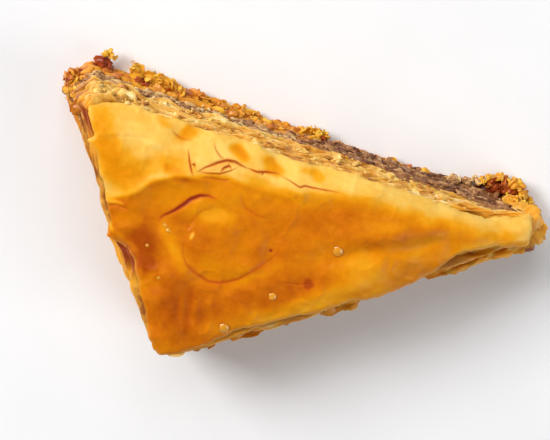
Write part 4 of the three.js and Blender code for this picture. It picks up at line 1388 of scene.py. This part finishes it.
def inside(points, loop):
    """Which points lie inside a closed line."""
    after = np.roll(loop, -1, axis=0)
    result = []
    for chunk in in_chunks(points):
        px = chunk[:, 0][:, None]
        py = chunk[:, 1][:, None]
        crosses = (loop[:, 1] > py) != (after[:, 1] > py)
        with np.errstate(divide="ignore", invalid="ignore"):
            at_x = loop[:, 0] + (py - loop[:, 1]) * (after[:, 0] - loop[:, 0]) / (after[:, 1] - loop[:, 1])
        result.append((crosses & (px < at_x)).sum(axis=1) % 2 == 1)
    return np.concatenate(result)


# How far apart the top sheet's points are, there and along a crease, and where closer rows of them lie:
# in from its rim, and beside a crease.
TOP_SPACING = 0.29
CREASE_SPACING = 0.18
RIM_ROWS = (0.12, 0.3)
CREASE_ROWS = (-0.3, -0.12, 0.0, 0.12, 0.3)
CURVE_STEPS = 24  # from one corner of a closed curve to the next


def closed_curve(corners, spacing):
    """A smooth closed curve through the corners, as evenly spaced points."""
    corners = np.array(corners, float)
    before, after, beyond = (np.roll(corners, shift, axis=0) for shift in (1, -1, -2))
    pieces = []
    for t in np.linspace(0, 1, CURVE_STEPS, endpoint=False):
        a = -0.5 * t**3 + t**2 - 0.5 * t
        b = 1.5 * t**3 - 2.5 * t**2 + 1
        c = -1.5 * t**3 + 2 * t**2 + 0.5 * t
        d = 0.5 * t**3 - 0.5 * t**2
        pieces.append(a * before + b * corners + c * after + d * beyond)
    path = np.stack(pieces, axis=1).reshape(-1, 2)
    path = np.vstack([path, path[:1]])
    run = measured(path)
    count = int(run[-1] / spacing)
    return columns(*places_on(path, run, np.arange(count) * run[-1] / count))


def inward_of(loop):
    """The direction into a closed anticlockwise line at each of its points."""
    along = np.roll(loop, -2, axis=0) - np.roll(loop, 2, axis=0)
    along /= np.linalg.norm(along, axis=1, keepdims=True)
    return columns(-along[:, 1], along[:, 0])


def top_outline():
    """The top sheet's rim, with small torn bites and teeth."""
    loop = closed_curve(TOP_RIM, TOP_SPACING)
    place = np.arange(len(loop)) * TOP_SPACING
    fade = smooth(0, 4, place) * smooth(place[-1], place[-1] - 4, place)
    ragged = 0.2 * noise(place / 1.9, 1, 81) + 0.12 * noise(place / 0.75, 2, 82)
    bites = 0.7 * np.maximum(0, noise(place / 4.1, 3, 83) - 0.5)
    return loop + inward_of(loop) * (fade * (ragged + bites))[:, None]


def crease_points():
    """Rows of points beside every crease, so that its lips are sharp."""
    rows = []
    for line, *_ in CREASES:
        path = np.array(line)
        run = measured(path)
        x, y = places_on(path, run, np.arange(0, run[-1], CREASE_SPACING))
        along_x = np.gradient(x)
        along_y = np.gradient(y)
        size = np.hypot(along_x, along_y)
        for offset in CREASE_ROWS:
            rows.append(columns(x - offset * along_y / size, y + offset * along_x / size))
    return np.vstack(rows)


def top_points(outline):
    """Points over the top sheet, evenly spread, with closer rows at its creases."""
    low = outline.min(axis=0)
    high = outline.max(axis=0)
    row_height = TOP_SPACING * math.sqrt(3) / 2
    rows = []
    for row in range(int((high[1] - low[1]) / row_height)):
        x = np.arange(low[0], high[0], TOP_SPACING) + (row % 2) * TOP_SPACING / 2
        rows.append(columns(x, np.full(len(x), low[1] + row * row_height)))
    lattice = np.vstack(rows)
    lattice = lattice[inside(lattice, outline)]
    lattice = lattice[nearest(lattice, outline) > RIM_ROWS[-1] + 0.4 * TOP_SPACING]
    creases = crease_points()
    creases = creases[inside(creases, outline)]
    creases = creases[nearest(creases, outline) > RIM_ROWS[-1] + 0.1]
    lattice = lattice[nearest(lattice, creases) > 0.5 * TOP_SPACING]
    return np.vstack([lattice, creases])


RIM_THICKNESS = 0.14
TOP_THICKNESS = 0.5
THIN_RIM = 1.0  # how far in from the rim the full thickness is reached
RIM_GLOW = 0.35  # how far in from the rim its paler colour reaches
INSIDE_ONLY = 1  # keeps the triangles inside the outline
MERGED_WITHIN = 1e-5


def top_sheet(material):
    """The glazed top sheet: one thin closed sheet that falls over the shoulders, with a ragged rim."""
    outline = top_outline()
    rim_rows = [outline + inward_of(outline) * row for row in RIM_ROWS]
    spread = np.vstack([*rim_rows, top_points(outline)])
    spread = spread[inside(spread, outline)]
    points = [Vector(p) for p in np.vstack([outline, spread])]
    whole_outline = list(range(len(outline)))
    flat, _, faces, _, _, _ = delaunay_2d_cdt(points, [], [whole_outline], INSIDE_ONLY, MERGED_WITHIN)
    plan = np.array([p[:] for p in flat])
    upper = np.array([face for face in faces if len(face) == 3])
    x, y = plan.T
    inset = nearest(plan, outline)
    z = top_height(x, y) + fine_relief(x, y)
    z = z - 0.3 * smooth(0.9, 0, inset) ** 2 + 0.14 * noise(x / 1.6, y / 1.6, 90) * smooth(2.5, 0.3, inset)
    thickness = mix(RIM_THICKNESS, TOP_THICKNESS, smooth(0, THIN_RIM, inset))
    count = len(plan)
    edges = set()
    for a, b, c in upper.tolist():
        edges.update(((a, b), (b, c), (c, a)))
    border = np.array([edge for edge in sorted(edges) if (edge[1], edge[0]) not in edges])
    walls = quads(border[:, 0], border[:, 0] + count, border[:, 1] + count, border[:, 1])
    triangles = np.vstack([upper, upper[:, ::-1] + count, walls])
    bodies = Bodies("amber", "browned_and_shaded", "rim")
    bodies.add(
        np.vstack([columns(x, y, z), columns(x, y, z - thickness)]),
        triangles,
        amber=np.tile(amber(x, y), 2),
        browned_and_shaded=np.tile(browning_and_crease_shade(x, y), 2),
        rim=np.tile(bell(inset, RIM_GLOW), 2),
    )
    bodies.piece("glazed_top_sheet", material, "glazed_pastry", "pastry_stack")


# ---- Syrup ----

# Beads of syrup: place and radius.
BEADS = (
    ((-8.3, -6.5), 1.15),
    ((1.1, 6.2), 0.85),
    ((8, 15.4), 1.1),
    ((26.1, -0.8), 0.42),
    ((25.2, 0), 0.5),
    ((28.1, 4.2), 0.4),
    ((23.9, 9.6), 0.4),
)
BEAD_SIDES = 28
BEAD_CIRCLES = 8
BEAD_HEIGHT = 0.5  # share of its radius
BEAD_UNEVEN = 0.12
BEAD_SUNK = 0.1  # how far a bead's rim lies in the top sheet, and its underside below that


def syrup_beads(material):
    """Domes of syrup on the top sheet, a little uneven in outline."""
    bodies = Bodies("rim")
    angles = 2 * math.pi * np.arange(BEAD_SIDES) / BEAD_SIDES
    for number, (at, radius) in enumerate(BEADS):
        reaches = radius * (1 + BEAD_UNEVEN * noise(angles * 1.3, number * 2.7, 95))
        rings = []
        rims = []
        for circle in range(BEAD_CIRCLES):
            angle_up = 0.5 * math.pi * circle / BEAD_CIRCLES
            x = at[0] + reaches * math.cos(angle_up) * np.cos(angles)
            y = at[1] + reaches * math.cos(angle_up) * np.sin(angles)
            base = top_height(x, y) + fine_relief(x, y) - BEAD_SUNK
            rings.append(columns(x, y, base + BEAD_HEIGHT * radius * math.sin(angle_up)))
            rims.append(np.full(BEAD_SIDES, math.cos(angle_up)))
        lowest = rings[0] - (0, 0, BEAD_SUNK)
        bodies.add(*loft([lowest, *rings]), rim=np.concatenate([rims[0], *rims, [1.0, 0.0]]))
    bodies.piece("syrup_beads", material, "glazed_pastry", "pastry_stack")


# ---- Floor, light and camera ----

# The photograph looks steeply down. X_IN_IMAGE is where the piece's +X points in the picture, and
# CAMERA_LEAN is how far left of the picture's up the camera leans.
IMAGE_WIDTH = 550
SENSOR = 36.0
CAMERA_TARGET = (3.8, -5.0, 14.0)
CAMERA_DISTANCE = 700.0
CAMERA_TILT = math.radians(15)
CAMERA_LEAN = math.radians(25)
X_IN_IMAGE = math.radians(161)
MM_PER_PIXEL = 0.2
IMAGE_RIGHT = Vector((math.cos(X_IN_IMAGE), -math.sin(X_IN_IMAGE), 0))
IMAGE_UP = Vector((math.sin(X_IN_IMAGE), math.cos(X_IN_IMAGE), 0))
CLIP_RANGE = (0.01, 10)  # metres


def photo_camera():
    """The camera, where the photograph was taken from."""
    towards = -math.sin(CAMERA_LEAN) * IMAGE_RIGHT + math.cos(CAMERA_LEAN) * IMAGE_UP
    tilt = Matrix.Rotation(CAMERA_TILT, 3, Vector((0, 0, 1)).cross(towards))
    right = tilt @ IMAGE_RIGHT
    up = tilt @ IMAGE_UP
    back = tilt @ Vector((0, 0, 1))
    data = bpy.data.cameras.new("photo_camera")
    data.sensor_width = SENSOR
    data.lens = CAMERA_DISTANCE / MM_PER_PIXEL * SENSOR / IMAGE_WIDTH
    data.clip_start, data.clip_end = CLIP_RANGE
    camera = bpy.data.objects.new("photo_camera", data)
    place = (Vector(CAMERA_TARGET) + CAMERA_DISTANCE * back) * MM
    camera.matrix_world = Matrix.LocRotScale(place, Matrix((right, up, back)).transposed(), None)
    bpy.context.scene.collection.objects.link(camera)
    bpy.context.scene.camera = camera


def soft_light(name, to_right, to_up, height, size, power):
    """A square lamp over the table, placed by the picture's own right and up, in metres."""
    data = bpy.data.lights.new(name, "AREA")
    data.shape = "SQUARE"
    data.size = size
    data.energy = power
    lamp = bpy.data.objects.new(name, data)
    place = to_right * IMAGE_RIGHT + to_up * IMAGE_UP + height * Vector((0, 0, 1))
    lamp.location = place
    lamp.rotation_euler = place.to_track_quat("Z", "Y").to_euler()
    bpy.context.scene.collection.objects.link(lamp)


FLOOR_HALF = 3.0  # metres from the floor's middle to its sides
WORLD_LIGHT = 0.2
# Lamps: name, how far right, up the picture and above the table, size, and power. Metres and watts.
LAMPS = (
    ("window", -0.85, 0.6, 0.75, 0.5, 13.2),
    ("sky", -0.2, 0.9, 0.9, 0.9, 5.5),
    ("fill", 0.9, -0.5, 0.6, 0.8, 4.6),
)


def studio():
    """The floor, three soft lamps and an even light from all round."""
    corners = [(FLOOR_HALF * x, FLOOR_HALF * y, 0) for x, y in ((-1, -1), (1, -1), (1, 1), (-1, 1))]
    data = bpy.data.meshes.new("floor")
    data.from_pydata(corners, [], [(0, 1, 2, 3)])
    data.materials.append(floor_look())
    floor = bpy.data.objects.new("floor", data)
    bpy.context.scene.collection.objects.link(floor)
    for lamp in LAMPS:
        soft_light(*lamp)
    world = bpy.data.worlds.new("studio")
    bpy.context.scene.world = world
    world.use_nodes = True
    background = world.node_tree.nodes["Background"].inputs
    background["Color"].default_value = (1, 1, 1, 1)
    background["Strength"].default_value = WORLD_LIGHT
    bpy.context.scene.view_settings.view_transform = "Standard"


# ---- The whole piece ----

draw = np.random.default_rng(RANDOM_SEED)
browned_base(base_look(), draw)
nut_layer(nut_look(), draw)
pale_stack(sheet_look(), draw)
top_sheet(glazed_look())
syrup_beads(syrup_look())
studio()
photo_camera()
